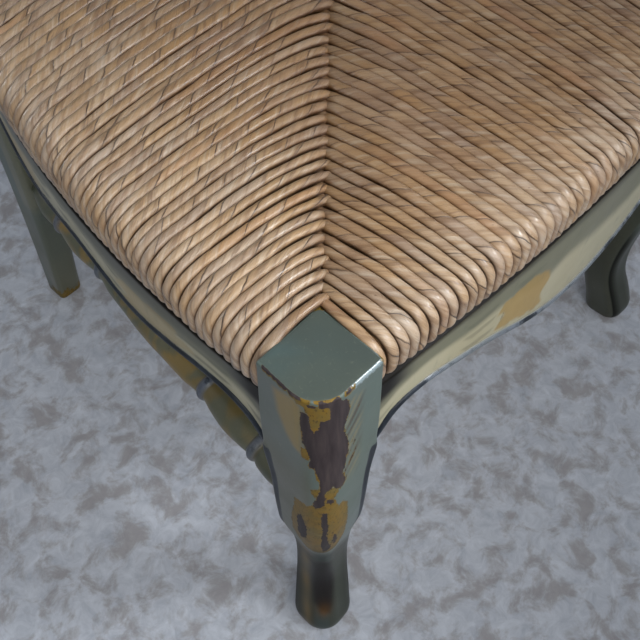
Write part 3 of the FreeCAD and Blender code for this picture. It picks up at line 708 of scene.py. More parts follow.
    # some lengths of leaf are more orange than others, above all next to the posts
    warm = np.clip(Noise1(rng, 60.0, total)(s) * 1.3 - 0.45, 0, 1) * (0.6 if rng.uniform() < 0.35 else 0.12)
    if kk == 0:
        warm = np.maximum(warm, (0.60 if not over else 0.25) * np.clip((34.0 - s) / 22.0, 0.15, 1))
    pale = np.clip(Noise1(rng, 80.0, total)(s) * 1.2 - 0.2, 0, 1) * rng.uniform(0.0, 0.5)
    # painted sheen: strands are made paler near the rails, where they roll over
    if over:
        pale = np.clip(pale + 0.30 * np.clip(1 - u / 110.0, 0, 1) * top, 0, 1)
    elif panel == "front":
        pale = np.clip(pale + 0.34 * (1 - sstep(12.0, 66.0, u)) * top, 0, 1)
    nseg = 18 if fine else 12
    th = np.arange(nseg) / nseg * 2 * math.pi - math.pi / 2
    lam = rng.uniform(22.0, 46.0)
    phase = rng.uniform(0, 1)
    ex = 0.97
    cx = np.sign(np.cos(th)) * np.abs(np.cos(th)) ** ex
    cy = np.sign(np.sin(th)) * np.abs(np.sin(th)) ** ex
    hel = (th[None] + math.pi / 2) / (2 * math.pi) - (s[:, None] / lam - phase)
    fr = hel - np.floor(hel)
    swell = 1.0 + 0.10 * (fr - 0.5) + 0.03 * np.sin(2 * math.pi * (fr + 0.2))
    # shallow creases where the leaf was twisted
    crease = np.sin(2 * math.pi * (hel * 3.0 + phase * 5.0) + 1.7 * n_w(s)[:, None]) * np.clip(n_t(s)[:, None] + 0.3, 0, 1)
    swell = swell - 0.045 * np.clip(crease, 0, 1) ** 2
    G = (P[:, None] + Bv[:, None] * (w[:, None] / 2 * cx[None] * swell)[..., None]
         + N[:, None] * (h[:, None] / 2 * cy[None] * swell)[..., None])
    # painted shade along the lower flanks of each strand, where it lies against its neighbours
    flank = np.repeat((np.clip((0.82 - np.sin(th)) / 0.82, 0, 1) ** 1.35)[None], len(s), 0)
    # painted shade: darkens the strands where they dive into the seam, and the first strand beside the post
    inside = np.where(top, np.clip((7.0 - d_seam) / 11.0, 0, 1) ** 1.2, 0.0)
    if over:
        inside = inside * 0.5
    if kk == 0:
        inside = np.maximum(inside, np.where(top, 0.62 if over else 0.10, 0.0))
    inside = np.repeat(inside[:, None], nseg, 1)
    sid = np.full((len(s), nseg), rng.uniform(0, 100.0))
    along = np.repeat((s + rng.uniform(0, 500.0))[:, None], nseg, 1)
    warm = np.repeat(warm[:, None], nseg, 1)
    pale = np.repeat(pale[:, None], nseg, 1)
    # painted shade: darkest towards the middle of the seat, standing in for the light falling off away from the front
    # corner
    used = 1 - sstep(110.0, 255.0, np.hypot(x, y - YS))
    # on the front panel the painted shade is eased near the rail and strengthened in a band behind it
    if panel == "front":
        used = np.clip(used * (1 - 0.4 * (1 - sstep(14.0, 66.0, u))) + 0.34 * sstep(14.0, 62.0, u) * (1 - sstep(80.0, 150.0, u)) * top, 0, 1)
    used = np.repeat(used[:, None], nseg, 1)
    B.grid(G, uv=s / lam - phase, sid=sid, along=along, flank=flank, deep=inside, warm=warm, pale=pale, used=used)


def rush_seat():
    half, both = HALF_F, 2 * HALF_F
    side = HALF_F + GROUP_B
    spec = [("front", "rush_front_strands_a", range(0, 25), True, ("rush_front",)),
            ("front", "rush_front_strands_b", range(25, both), False, ("rush_front",)),
            ("left", "rush_left_strands_a", range(0, 26), True, ("rush_left",)),
            ("left", "rush_left_strands_b", range(26, side), False, ("rush_left",)),
            ("right", "rush_right_strands", range(0, side), False, ("rush_right",)),
            ("back", "rush_back_strands", range(0, 2 * HALF_B), False, ("rush_back",))]
    for i, (panel, name, ks, fine, nodes) in enumerate(spec):
        B = Builder()
        rng = np.random.RandomState(100 + i)
        for k in ks:
            rush_strand(B, panel, k, rng, fine)
        B.build(name, MAT_RUSH, replaces=nodes)


rush_seat()

# ------------------------------------------------------------ front legs
LEG = np.array((
    (0.0, 26.6, -32.2, 32.7, 1.6, 1.2, 20.0),
    (22.0, 28.0, -32.5, 33.0, 1.8, 1.8, 18.6),
    (45.0, 30.4, -33.2, 33.5, 2.0, 2.6, 17.2),
    (72.0, 34.2, -34.4, 33.6, 2.4, 3.6, 16.0),
    (98.0, 38.0, -35.2, 32.3, 3.0, 4.6, 15.2),
    (125.0, 40.8, -34.4, 29.4, 5.0, 6.0, 15.0),
    (153.0, 41.8, -32.4, 27.8, 8.0, 8.0, 15.0),
    (182.0, 39.6, -31.4, 27.0, 11.0, 9.5, 15.0),
    (212.0, 33.4, -32.4, 26.6, 13.0, 11.0, 15.0),
    (243.0, 24.2, -35.6, 26.2, 14.0, 12.0, 14.5),
    (280.0, 12.2, -39.6, 24.6, 14.0, 12.5, 13.5),
    (320.0, 3.2, -42.4, 22.6, 13.5, 12.5, 12.5),
    (355.0, 1.6, -42.6, 21.4, 13.0, 12.5, 12.0),
    (385.0, 7.0, -39.0, 21.4, 13.0, 12.5, 14.0),
    (412.0, 18.0, -31.6, 22.8, 13.5, 13.0, 17.0),
    (434.0, 26.4, -25.0, 24.0, 14.0, 13.5, 19.0),
    (447.0, 28.6, -21.6, 23.6, 14.0, 13.5, 20.0),
    (455.0, 25.6, -19.4, 20.6, 13.0, 12.5, 19.0)))

# Outlines of the worn places on the outer faces, as (across, down) in mm: across
# is measured from the outer corner, positive towards the front apron.
DARK_WOOD = (
    ((-10.4, 12.0), (-6.4, 11.0), (-6.1, 24.0), (-4.0, 28.0), (-4.0, 35.0), (-1.9, 27.0), (0.2, 19.0), (4.6, 17.0), (5.6, 5.0), (10.0, 3.5),
     (14.6, 7.0), (15.6, 19.0), (14.0, 27.0), (12.8, 33.0), (14.3, 46.0), (15.2, 59.0), (14.4, 74.0), (12.6, 83.0), (14.6, 96.0), (11.2, 99.0),
     (6.5, 90.0), (3.1, 93.0), (1.4, 96.0), (1.7, 111.0), (-2.0, 115.0), (-5.8, 115.0), (-4.0, 106.0), (-2.3, 101.0), (-0.6, 92.0), (-0.8, 85.0),
     (-1.0, 78.0), (-3.3, 66.0), (-7.0, 65.0), (-5.4, 56.0), (-9.4, 45.0), (-9.8, 30.0)),
    ((0.3, 122.0), (3.6, 124.0), (3.8, 150.0), (4.4, 186.0), (6.4, 205.0), (3.4, 224.0), (1.7, 226.0), (0.2, 194.0), (0.4, 150.0)),
    ((7.4, 158.0), (9.2, 160.0), (10.8, 186.0), (9.0, 200.0), (7.6, 186.0)),
    ((-15.3, 150.0), (-12.7, 139.0), (-9.3, 153.0), (-9.2, 169.0), (-13.1, 193.0), (-15.0, 184.0)),
    ((3.4, 103.0), (7.1, 107.0), (7.2, 112.0), (3.6, 109.0)))
LOW_WOOD = ((-6.7, 340.0), (0.0, 330.0), (8.8, 336.0), (12.2, 385.0), (10.7, 411.0), (8.2, 420.0), (0.8, 418.0), (-6.0, 407.0), (-7.4, 383.0))
YELLOW = (
    ((-8.5, 4.0), (4.6, 6.0), (6.4, 19.0), (0.2, 19.0), (-1.9, 27.0), (-3.9, 36.0), (-6.0, 32.0), (-6.1, 24.0), (-6.2, 17.0)),
    ((-10.9, 49.0), (-7.6, 47.0), (-5.5, 54.0), (-7.2, 58.0), (-10.6, 58.0)),
    ((-3.3, 65.0), (-1.3, 69.0), (1.1, 86.0), (-0.9, 84.0), (-3.1, 73.0)),
    ((-6.1, 92.0), (-0.7, 90.0), (-2.4, 97.0), (-4.1, 101.0)),
    ((-15.5, 125.0), (-10.6, 118.0), (-9.1, 121.0), (-5.8, 113.0), (-2.0, 116.0), (1.7, 111.0), (1.5, 101.0), (3.1, 93.0), (8.2, 92.0),
     (9.9, 99.0), (7.0, 105.0), (10.6, 122.0), (13.3, 121.0), (16.8, 134.0), (17.6, 168.0), (15.6, 200.0), (10.9, 226.0), (2.0, 233.0),
     (-8.6, 226.0), (-14.5, 208.0), (-18.4, 195.0), (-19.4, 175.0)))
PALE_EARTH = ((-24.5, 10.0), (-14.1, 2.0), (-10.4, 9.0), (-10.2, 16.0), (-11.0, 47.0), (-10.8, 56.0), (-15.3, 54.0), (-18.8, 46.0), (-22.8, 31.0))


def inside_by(poly, x, y, sy=1.0):
    """Signed distance to a polygon's outline, positive inside; y is scaled by sy first."""
    P = np.array(poly, float) * np.array([1.0, sy])
    y = y * sy
    d = np.full(x.shape, 1e9)
    odd = np.zeros(x.shape, bool)
    for a, b in zip(P, np.roll(P, -1, 0)):
        e = b - a
        f = np.clip(((x - a[0]) * e[0] + (y - a[1]) * e[1]) / max(e @ e, 1e-9), 0, 1)
        d = np.minimum(d, np.hypot(x - a[0] - f * e[0], y - a[1] - f * e[1]))
        if a[1] != b[1]:
            cross = ((a[1] > y) != (b[1] > y)) & (x < (b[0] - a[0]) * (y - a[1]) / (b[1] - a[1]) + a[0])
            odd ^= cross
    return np.where(odd, d, -d)


def patch_value(polys, x, y, soft=10.0, sy=1.0, grow=0.0):
    return np.clip(0.5 + (grow + np.max([inside_by(q, x, y, sy) for q in polys], 0)) / soft, 0, 1)


def front_leg(name, sx, seed, main):
    out = np.array([sx * R2, -R2])
    side = np.array([R2, sx * R2])
    c0 = np.array([sx * FX, FY])
    step = 1.4 if main else 2.6
    hs = np.concatenate([[0.0, 0.0, 0.10, 0.32, 0.62, 1.0, 1.5, 2.0], np.arange(3.2, 451.5, step), [452.4, 453.6, 454.5, 454.9, 455.0]])
    inset = np.zeros_like(hs)
    inset[:8] = [4.0, 1.75, 1.25, 0.80, 0.46, 0.20, 0.06, 0.0]
    inset[-5:] = [0.0, 0.3, 0.8, 1.5, 3.0]
    tab = [cubic(LEG[:, 0], LEG[:, i], hs) for i in range(7)]
    na, nl = (14, 26) if main else (10, 14)
    nring = 4 * (na + nl)
    rows = []
    k = math.sqrt(2) - 1
    # hand-made: the outer corner leans a little near the top, the foot stands a little aside
    lean = (-2.2 if main else 1.0) * (1 - sstep(30, 130, hs))
    drift = (2.3 if main else -1.0) * sstep(230, 340, hs)
    for i, h in enumerate(hs):
        o, inn, hw, r1, r2, r3 = (tab[j][i] for j in range(1, 7))
        ao, ai, b = o + k * r3, inn - k * r1, hw + k * r2
        mid = (ao + ai) / 2
        g = inset[i]
        pts = [np.array(p) for p in ((ai + g * 1.3, 0.0), (mid, b - g * 1.3), (ao - g * 1.3, lean[i]), (mid, -b + g * 1.3))]
        rows.append(rounded_ring(pts, [max(r1 - g * 0.4, 0.4), max(r2 - g * 0.4, 0.6), max(r3 - g * 0.4, 2.0), max(r2 - g * 0.4, 0.6)], na, nl))
    rows = np.array(rows)
    A, Bc = rows[..., 0], rows[..., 1] + drift[:, None]
    H = np.repeat(hs[:, None], nring, 1)
    mid = ((tab[1] + k * tab[6]) + (tab[2] - k * tab[4]))[:, None] / 2
    # bead down the two side edges, running on from the beads of the aprons
    band = sstep(84, 98, H) * (1 - sstep(225, 290, H))
    grow = 1.5 * np.clip(1.0 - ((A - mid - 1.5) / 2.7) ** 2, 0, 1) ** 0.5 * band
    # the faces are very slightly hand-shaped
    uneven = 0.22 * np.sin(H / 23.0 + 1.3 * seed) * np.sin(Bc / 9.0 + 0.7) + 0.12 * np.sin(H / 9.1 + Bc / 7.0)
    sgn = np.sign(rows[..., 1])
    Bc2 = Bc + sgn * grow
    A2 = A + uneven * (A > mid) * sstep(4, 16, H)
    X = c0[0] + out[0] * A2 + side[0] * Bc2
    Y = c0[1] + out[1] * A2 + side[1] * Bc2
    Z = SEAT_Z - H
    P = np.stack([X, Y, Z], -1)
    outer = (tab[1] + k * tab[6])[:, None]
    tk = (A - mid) / np.maximum(outer - mid, 1.0)      # 0 at the side edges, 1 at the outer corner
    on_outer = sstep(0.0, 0.22, tk)
    xb = Bc if sx < 0 else -Bc + 5.0
    flat = hs[:, None] < 0.05
    far_side = np.where(tk > -0.02, 1.0, 0.0)
    yel = patch_value(YELLOW, xb, H, 9.0, 0.7, 1.1)
    wear = np.where(far_side > 0, yel * 1.5 - 0.5, -0.3)
    wear = np.where((far_side > 0) & (yel > 0.5), yel, wear) - 0.02
    wood = patch_value(DARK_WOOD, xb, H, 8.0, 0.7, 0.3) * far_side
    lowp = np.clip(0.5 + inside_by(LOW_WOOD, xb, H, 0.7) / 9.0, 0, 1) * far_side
    bare = wood
    # chips along the rim of the top

    def chip(b0, b1, h0, h1, ripple=0.0):
        d = np.minimum(np.minimum(xb - b0, b1 - xb), np.minimum(H - h0, h1 - H) * 2.2)
        return 0.5 + (d + ripple * np.sin(xb * 2.3) + ripple * np.sin(xb * 0.9 + 1.1)) / 6.0
    rim = sstep(-0.2, 0.1, tk)
    bare = np.maximum(bare, rim * chip(-1.0, 9.5, 0.6, 5.0, 0.7))
    bare = np.maximum(bare, rim * chip(12.0, 18.5, 0.2, 3.2, 0.9))
    bare = np.maximum(bare, rim * chip(-30.0, -10.0, -0.6, 1.3, 0.8) + 0.0)
    bare = np.maximum(bare, rim * chip(-8.5, -3.0, 2.2, 5.0, 0.8))
    wear = np.maximum(wear, rim * chip(-4.0, 9.0, -1.5, 1.2, 0.5))
    wear = np.maximum(wear, rim * chip(-13.0, -6.0, -0.5, 5.0, 0.9))
    wear = np.maximum(wear, rim * chip(-30.0, -12.0, -0.8, 2.4, 1.5) - 0.03)
    wear = np.maximum(wear, rim * chip(10.0, 20.0, -0.5, 4.2, 1.2) - 0.04)
    wear = np.maximum(wear, chip(29.5, 34.0, -0.5, 3.5, 0.6))
    wear = np.maximum(wear, 0.56 * np.exp(-((A + 33.0) / 2.6) ** 2) * (H < 3.0))
    inner = np.exp(-((A + 30.5) / 3.4) ** 2)
    wear = np.where(flat, -0.3 + 0.95 * inner, np.where(H < 2.4, np.maximum(wear, 0.62 * inner), wear))
    bare = np.where(flat, -0.3 + 0.72 * inner, bare)
    edge = np.exp(-((tk) / 0.10) ** 2)
    wear = np.maximum(wear, 0.34 * edge * sstep(3, 30, H))
    low = sstep(262, 322, H)
    wear = np.maximum(wear, (0.30 - 0.10 * (xb > 12)) * low)
    wear = np.maximum(wear, 0.36 * sstep(435, 454, H))
    # coat colours
    coat = np.broadcast_to(GREEN * 1.08, A.shape + (3,)).copy()
    # slanting strokes of brown-green beside the bare patch, on the front face
    stroke = np.clip(np.sin((H * 0.7 + xb * 1.6) / 1.25 + 0.8 * np.sin(H / 7.0)) * 0.6 + np.sin((H * 0.5 + xb * 1.3) / 3.1 + 1.0) * 0.5, -1, 1)
    zone = sstep(11, 15, xb) * (1 - sstep(19, 25, xb)) * sstep(8, 16, H) * (1 - sstep(84, 106, H)) * far_side
    coat = lerp(coat, np.broadcast_to(UMBER, coat.shape), np.clip(zone * 1.1 * stroke, 0, 0.9))
    coat = lerp(coat, np.broadcast_to(KHAKI * 0.72, coat.shape), np.clip(-zone * 1.3 * stroke, 0, 0.85))
    bare = np.maximum(bare, zone * (0.38 + 0.16 * stroke))
    wear = np.maximum(wear, zone * (0.38 - 0.14 * stroke))
    # the face away from the light is greyer above and browner below
    dull = sstep(-4, -9, xb) * sstep(3, 8, H) * far_side
    coat = lerp(coat, np.broadcast_to(ASH, coat.shape), 0.75 * dull * (1 - sstep(50, 95, H)))
    coat = lerp(coat, np.broadcast_to(OLIVE * 0.80, coat.shape), 0.86 * dull * sstep(50, 95, H) * (1 - sstep(240, 300, H)))
    earth = np.clip(0.5 + inside_by(PALE_EARTH, xb, H, 0.8) / 3.6, 0, 1) * far_side
    coat = lerp(coat, np.broadcast_to(np.array(srgb(128, 108, 56)), coat.shape), 1.0 * earth)
    # a lighter rubbed rim where the knee turns under
    under_knee = np.exp(-((H - 262.0) / 26.0) ** 2) * far_side
    coat = lerp(coat, np.broadcast_to(ASH * 1.25, coat.shape), 0.7 * under_knee)
    coat = lerp(coat, np.broadcast_to(OLIVE * 0.66, coat.shape), 0.85 * low * sstep(-2, -8, xb))
    coat = lerp(coat, np.broadcast_to(OCHRE * 0.85, coat.shape), 0.85 * low * np.exp(-((xb + 12.0) / 4.0) ** 2) * (0.75 + 0.25 * np.sin(H / 6.0)))
    coat = lerp(coat, np.broadcast_to(GREEN_D * 0.9, coat.shape), 0.9 * low * (xb > 8))
    coat = lerp(coat, np.broadcast_to(np.array(srgb(46, 38, 38)), coat.shape), 0.97 * low * sstep(0.1, 0.9, lowp))
    rust = np.exp(-((H - 416.0) / 9.0) ** 2 - ((xb - 3.0) / 6.0) ** 2) * far_side
    coat = lerp(coat, np.broadcast_to(np.array(srgb(150, 100, 30)), coat.shape), 0.75 * rust)
    # painted shade: the inner faces, under the seat, are darkened to olive
    coat = lerp(coat, np.broadcast_to(OLIVE * 0.6, coat.shape), 0.8 * (tk < -0.05) * sstep(0, 10, H))
    # painted shade: the top face of the post is darkened
    coat = np.where(flat[..., None], coat * 0.72, coat)
    tx, ty = np.abs(P[..., 0]) - FX, P[..., 1] - FY
    tx, ty = tx - tx[flat[:, 0]].mean(), ty - ty[flat[:, 0]].mean()
    coat = lerp(coat, np.broadcast_to(np.array(srgb(66, 70, 64)), coat.shape), 0.42 * flat)
    blue = np.exp(-(((tx - 14.0) / 10.0) ** 2 + ((ty - 12.0) / 12.0) ** 2)) * flat
    coat = lerp(coat, np.broadcast_to(np.array(srgb(70, 92, 94)), coat.shape), 0.55 * blue)
    streak = np.exp(-((xb + 12.0) / 4.0) ** 2) + 0.5 * np.exp(-((xb - 15.0) / 3.0) ** 2)
    # painted shade: the lower leg, the inner faces and the underside of the knee are darkened
    dim = (0.58 + 0.34 * np.exp(-((tk / 0.20) ** 2)) + 0.14 * sstep(0.2, 0.9, lowp) - 0.10 * streak) * low * far_side + 0.25 * (tk < -0.05) * sstep(0, 10, H)
    dim = np.clip(dim, 0.0, 0.92)
    dim = dim + 0.26 * sstep(196, 238, H) * (1 - sstep(238, 256, H)) * far_side
    # the corner of the rim on the lit side is polished bright
    shine = sstep(13.0, 17.0, xb) * (1 - sstep(31.0, 33.5, xb)) * np.exp(-((H - 1.3) / 2.0) ** 2) * rim * (0.75 + 0.25 * np.sin(xb * 1.7)) * (H > 0.0)
    # painted highlight, partly rubbed paint: a pale streak along the rim on the lit side
    pale = sstep(12.0, 16.0, xb) * (1 - sstep(31.5, 34.0, xb)) * sstep(0.02, 0.12, H) * (1 - sstep(2.6 + 0.7 * np.sin(xb * 1.9) + 0.5 * np.sin(xb * 4.3), 3.4 + 0.7 * np.sin(xb * 1.9) + 0.5 * np.sin(xb * 4.3), H)) * rim
    coat = lerp(coat, np.broadcast_to(np.array(srgb(150, 166, 172)), coat.shape), np.clip(0.75 * pale, 0, 1))
    bare = bare - 0.3 * shine
    wear = wear - 0.3 * shine
    # the bead, and the darker grime that has gathered against it
    line = 0.97 * np.exp(-np.abs((A - mid - 2.4) / 3.7) ** 4) * band
    B = Builder()
    arrs = [P, wear, bare, coat, line, dim, shine]
    if sx > 0:
        arrs = [q[:, ::-1] for q in arrs]
    # rows run downwards: reverse so that the surface faces outwards
    P, wear, bare, coat, line, dim, shine = (q[::-1] for q in arrs)
    B.grid(P, wear=wear, bare=bare, coat=coat, line=line, dim=dim, shine=shine)
    return B.build(name + "_painted", MAT_PAINT, replaces=(name,))


front_leg("front_leg_left", -1.0, 7, True)
front_leg("front_leg_right", 1.0, 8, False)

# ------------------------------------------------------------ back posts
POST = np.array((
    (0.0, 34.0, 28.0, 29.0), (60.0, 25.5, 29.0, 31.0), (140.0, 14.0, 31.0, 33.5), (230.0, 4.6, 33.0, 35.0),
    (330.0, 0.0, 34.0, 36.0), (455.0, 0.0, 34.0, 36.0), (530.0, 4.0, 33.0, 34.0), (630.0, 14.5, 32.0, 32.0),
    (740.0, 30.0, 30.5, 30.0), (860.0, 50.0, 29.0, 29.0), (960.0, 67.5, 28.0, 28.0), (1022.0, 78.5, 27.0, 27.0)))
FINIAL = ((-1.5, 11.6), (1.0, 11.6), (3.0, 9.8), (5.0, 8.5), (7.2, 8.0), (8.3, 9.6), (9.4, 11.2), (12.2, 12.6), (15.0, 11.2),
          (16.0, 9.4), (17.0, 8.1), (19.5, 8.2), (24.0, 11.0), (31.0, 13.6), (37.0, 13.9), (44.0, 11.8), (49.0, 7.6), (51.6, 3.4), (52.2, 0.6))


def post_off(z):
    return cubic(POST[:, 0], POST[:, 1], z)


def linear_off(z):
    return np.interp(z, POST[:, 0], POST[:, 1])


def back_post(name, sx, seed):
    B = Builder()
    zs = np.concatenate([[0.0, 0.4, 1.2, 2.4], np.arange(6.0, 1016.0, 4.0), [1017.0, 1019.5, 1021.0, 1021.8, 1022.0]])
    inset = np.zeros_like(zs)
    inset[:4] = [2.2, 1.0, 0.3, 0.0]
    inset[-5:] = [0.0, 0.4, 1.2, 2.4, 4.5]
    off = cubic(POST[:, 0], POST[:, 1], zs)
    wx = cubic(POST[:, 0], POST[:, 2], zs)
    wy = cubic(POST[:, 0], POST[:, 3], zs)
    rows = []
    for i in range(len(zs)):
        a, b = wx[i] / 2 - inset[i], wy[i] / 2 - inset[i]
        pts = [np.array(p) for p in ((-a, -b), (a, -b), (a, b), (-a, b))]
        rows.append(rounded_ring(pts, [6.0 - 0.3 * inset[i]] * 4, 8, 8))
    rows = np.array(rows)
    Z = np.repeat(zs[:, None], rows.shape[1], 1)
    P = np.stack([sx * RX + rows[..., 0], RY + off[:, None] + rows[..., 1], Z], -1)
    cx = np.abs(rows[..., 0]) / (wx[:, None] / 2)
    cy = np.abs(rows[..., 1]) / (wy[:, None] / 2)
    edge = sstep(0.72, 0.95, np.minimum(cx, cy))
    wear = 0.04 + 0.40 * edge
    wear = np.maximum(wear, 0.56 * (1 - sstep(8, 40, Z)))
    wear = np.maximum(wear, 0.50 * np.exp(-((Z - 520.0) / 60.0) ** 2) * sstep(0.4, 0.9, cy))
    wear = np.maximum(wear, 0.46 * sstep(985, 1020, Z))
    nz = Noise1(np.random.RandomState(seed), 70.0, 1200.0)(zs)[:, None]
    coat = lerp(np.broadcast_to(GREEN, P.shape), np.broadcast_to(GREEN_D, P.shape), np.clip(0.5 + 0.5 * nz + 0 * Z, 0, 1))
    kh = 0.45 * sstep(0.1, 0.7, -nz + 0 * Z) * (rows[..., 1] < 0)
    coat = lerp(coat, np.broadcast_to(KHAKI, P.shape), kh)
    coat = lerp(coat, np.broadcast_to(OLIVE * 0.8, P.shape), 0.6 * (1 - sstep(60, 220, Z)))
    B.grid(P, wear=wear, bare=wear - 0.16, coat=coat, line=np.zeros_like(Z))
    # finial, turned on the raked axis
    rake = math.atan2(POST[-1][1] - POST[-2][1], POST[-1][0] - POST[-2][0])
    f = np.array(FINIAL)
    ss = np.linspace(f[0, 0], f[-1, 0], 70)
    rr = pchip(f[:, 0], f[:, 1], ss)
    th = np.arange(40) / 40 * 2 * math.pi
    px = rr[:, None] * np.cos(th)
    py = rr[:, None] * np.sin(th)
    pz = np.repeat(ss[:, None], 40, 1)
    Y = py * math.cos(rake) + pz * math.sin(rake)
    Zf = -py * math.sin(rake) + pz * math.cos(rake)
    P = np.stack([sx * RX + px, RY + 78.5 + Y, 1022.0 + Zf], -1)
    ring = np.exp(-((pz - 12.2) / 2.6) ** 2)
    wear = 0.10 + 0.34 * np.exp(-((pz - 35.0) / 7.0) ** 2)
    coat = lerp(np.broadcast_to(GREEN, P.shape), np.broadcast_to(OCHRE, P.shape), 0.35 * sstep(18, 34, pz))
    B.grid(P, wear=wear, bare=wear - 0.16, coat=coat, line=0.95 * ring)
    return B.build(name + "_painted", MAT_PAINT_B, replaces=(name,))


back_post("back_post_left", -1.0, 21)
back_post("back_post_right", 1.0, 22)

# ----------------------------------------------------------------- slats
CREST = (((0, 62.0), (22, 60.0), (45, 53.5), (68, 44.5), (92, 38.5), (118, 38.0), (142, 40.0), (160, 37.0), (174, 28.0), (186, 22.0), (206, 20.0)),
         ((0, -20.0), (26, -21.5), (52, -25.5), (80, -31.0), (108, -33.5), (134, -31.0), (156, -26.0), (176, -23.0), (206, -22.0)))
LADDER = (((0, 40.0), (22, 38.5), (46, 33.0), (70, 26.5), (95, 23.0), (120, 23.5), (144, 25.0), (164, 22.5), (180, 19.0), (206, 18.0)),
          ((0, -15.0), (26, -16.5), (52, -20.5), (80, -25.5), (108, -28.0), (134, -26.5), (156, -22.5), (178, -20.0), (206, -19.0)))


SLAT_W = 0.865


def mirror_table(t):
    t = np.array(t, float)
    left = t[1:][::-1] * np.array([-1.0, 1.0])
    return np.concatenate([left, t])


def slat(name, zc, shape, seed):
    tilt = math.atan2(linear_off(zc + 25.0) - linear_off(zc - 25.0), 50.0)
    up, lowr = mirror_table(shape[0]), mirror_table(shape[1])
    up[:, 0] *= SLAT_W
    lowr[:, 0] *= SLAT_W
    inner = RX - 14.5
    c, r = arc_of(np.array([-inner, 0.0]), np.array([inner, 0.0]), 20.0, np.array([0.0, -1.0]))
    xs = np.linspace(-inner - 3.0, inner + 3.0, 150)
    zu = cubic(up[:, 0], up[:, 1], xs)
    zl = cubic(lowr[:, 0], lowr[:, 1], xs)
    T = 5.5
    # ring: front face up, over the top, back face down, under
    nf, nr = 22, 7
    rr = 3.4
    rows = []
    for x, a, b in zip(xs, zu, zl):
        pts = [np.array(p) for p in ((-T, b), (T, b), (T, a), (-T, a))]
        rows.append(rounded_ring(pts, [rr] * 4, nr, nf))
    rows = np.array(rows)                      # (thickness, height)
    ang = np.arcsin(xs / r)
    # outward radial direction of the arc, which bows to the rear
    rad = r + rows[..., 0]
    X = rad * np.sin(ang)[:, None]
    Yl = c[1] + rad * np.cos(ang)[:, None]
    Zl = rows[..., 1]
    # tilted to follow the rake of the posts
    Y = Yl * math.cos(tilt) + Zl * math.sin(tilt)
    Z = -Yl * math.sin(tilt) + Zl * math.cos(tilt)
    P = np.stack([X, RY + linear_off(zc) + Y, zc + Z], -1)
    mid = ((zu + zl) / 2)[:, None]
    half = ((zu - zl) / 2)[:, None]
    v = (rows[..., 1] - mid) / half
    edge = sstep(0.80, 0.98, np.abs(v))
    front = (rows[..., 0] < 0).astype(float)
    rng = np.random.RandomState(seed)
    wear = 0.05 + 0.42 * edge * (0.55 + 0.45 * sstep(0.0, 1.0, v)) + 0.10 * sstep(104, 158, np.abs(X))
    nz = Noise1(rng, 60.0, 500.0)(xs + 230.0)[:, None]
    coat = lerp(np.broadcast_to(GREEN_D, P.shape), np.broadcast_to(KHAKI, P.shape), np.clip(0.35 + 0.35 * nz + 0.25 * front - 0.35 * np.abs(v), 0, 0.85))
    band = np.exp(-((np.abs(v) - 0.90) / 0.055) ** 2) * front
    rim_d = np.minimum(zu[:, None] - rows[..., 1], rows[..., 1] - zl[:, None])
    line = 0.92 * np.exp(-((rim_d - 5.2) / 1.2) ** 2) * front * (rows[..., 0] < -T + 0.6)
    B = Builder()
    P, wear, coat, line = (q[:, ::-1] for q in (P, wear, coat, line))
    B.grid(P, wear=wear, bare=wear - 0.16, coat=coat, line=line)
    return B.build(name + "_painted", MAT_PAINT_B, replaces=(name,))


for i, (nm, zc) in enumerate(zip(("crest_slat", "ladder_slat_2", "ladder_slat_3", "ladder_slat_4"), (962.0, 832.0, 704.0, 578.0))):
    slat(nm, zc, CREST if i == 0 else LADDER, 40 + i)

# ---------------------------------------------------------------- aprons
FRONT_EDGE = ((20.0, 112.0), (29.0, 104.0), (38.0, 91.0), (50.0, 82.5), (66.0, 80.5), (83.0, 84.0),
              (104.0, 90.5), (126.0, 99.0), (160.0, 117.0), (197.0, 132.5), (FX, 138.0))
SIDE_EDGE = ((20.0, 113.0), (28.0, 105.0), (36.0, 93.0), (47.0, 83.0), (66.0, 78.0), (93.0, 81.0),
             (125.0, 88.0), (151.0, 90.0), (176.0, 86.0), (215.0, 79.0), (254.0, 86.0), (279.0, 90.0),
             (305.0, 88.0), (337.0, 81.0), (364.0, 78.0), (383.0, 83.0), (394.0, 93.0), (402.0, 103.0), (409.0, 110.0))
A_SET, A_T, A_TOP = 2.0, 18.0, 418.0


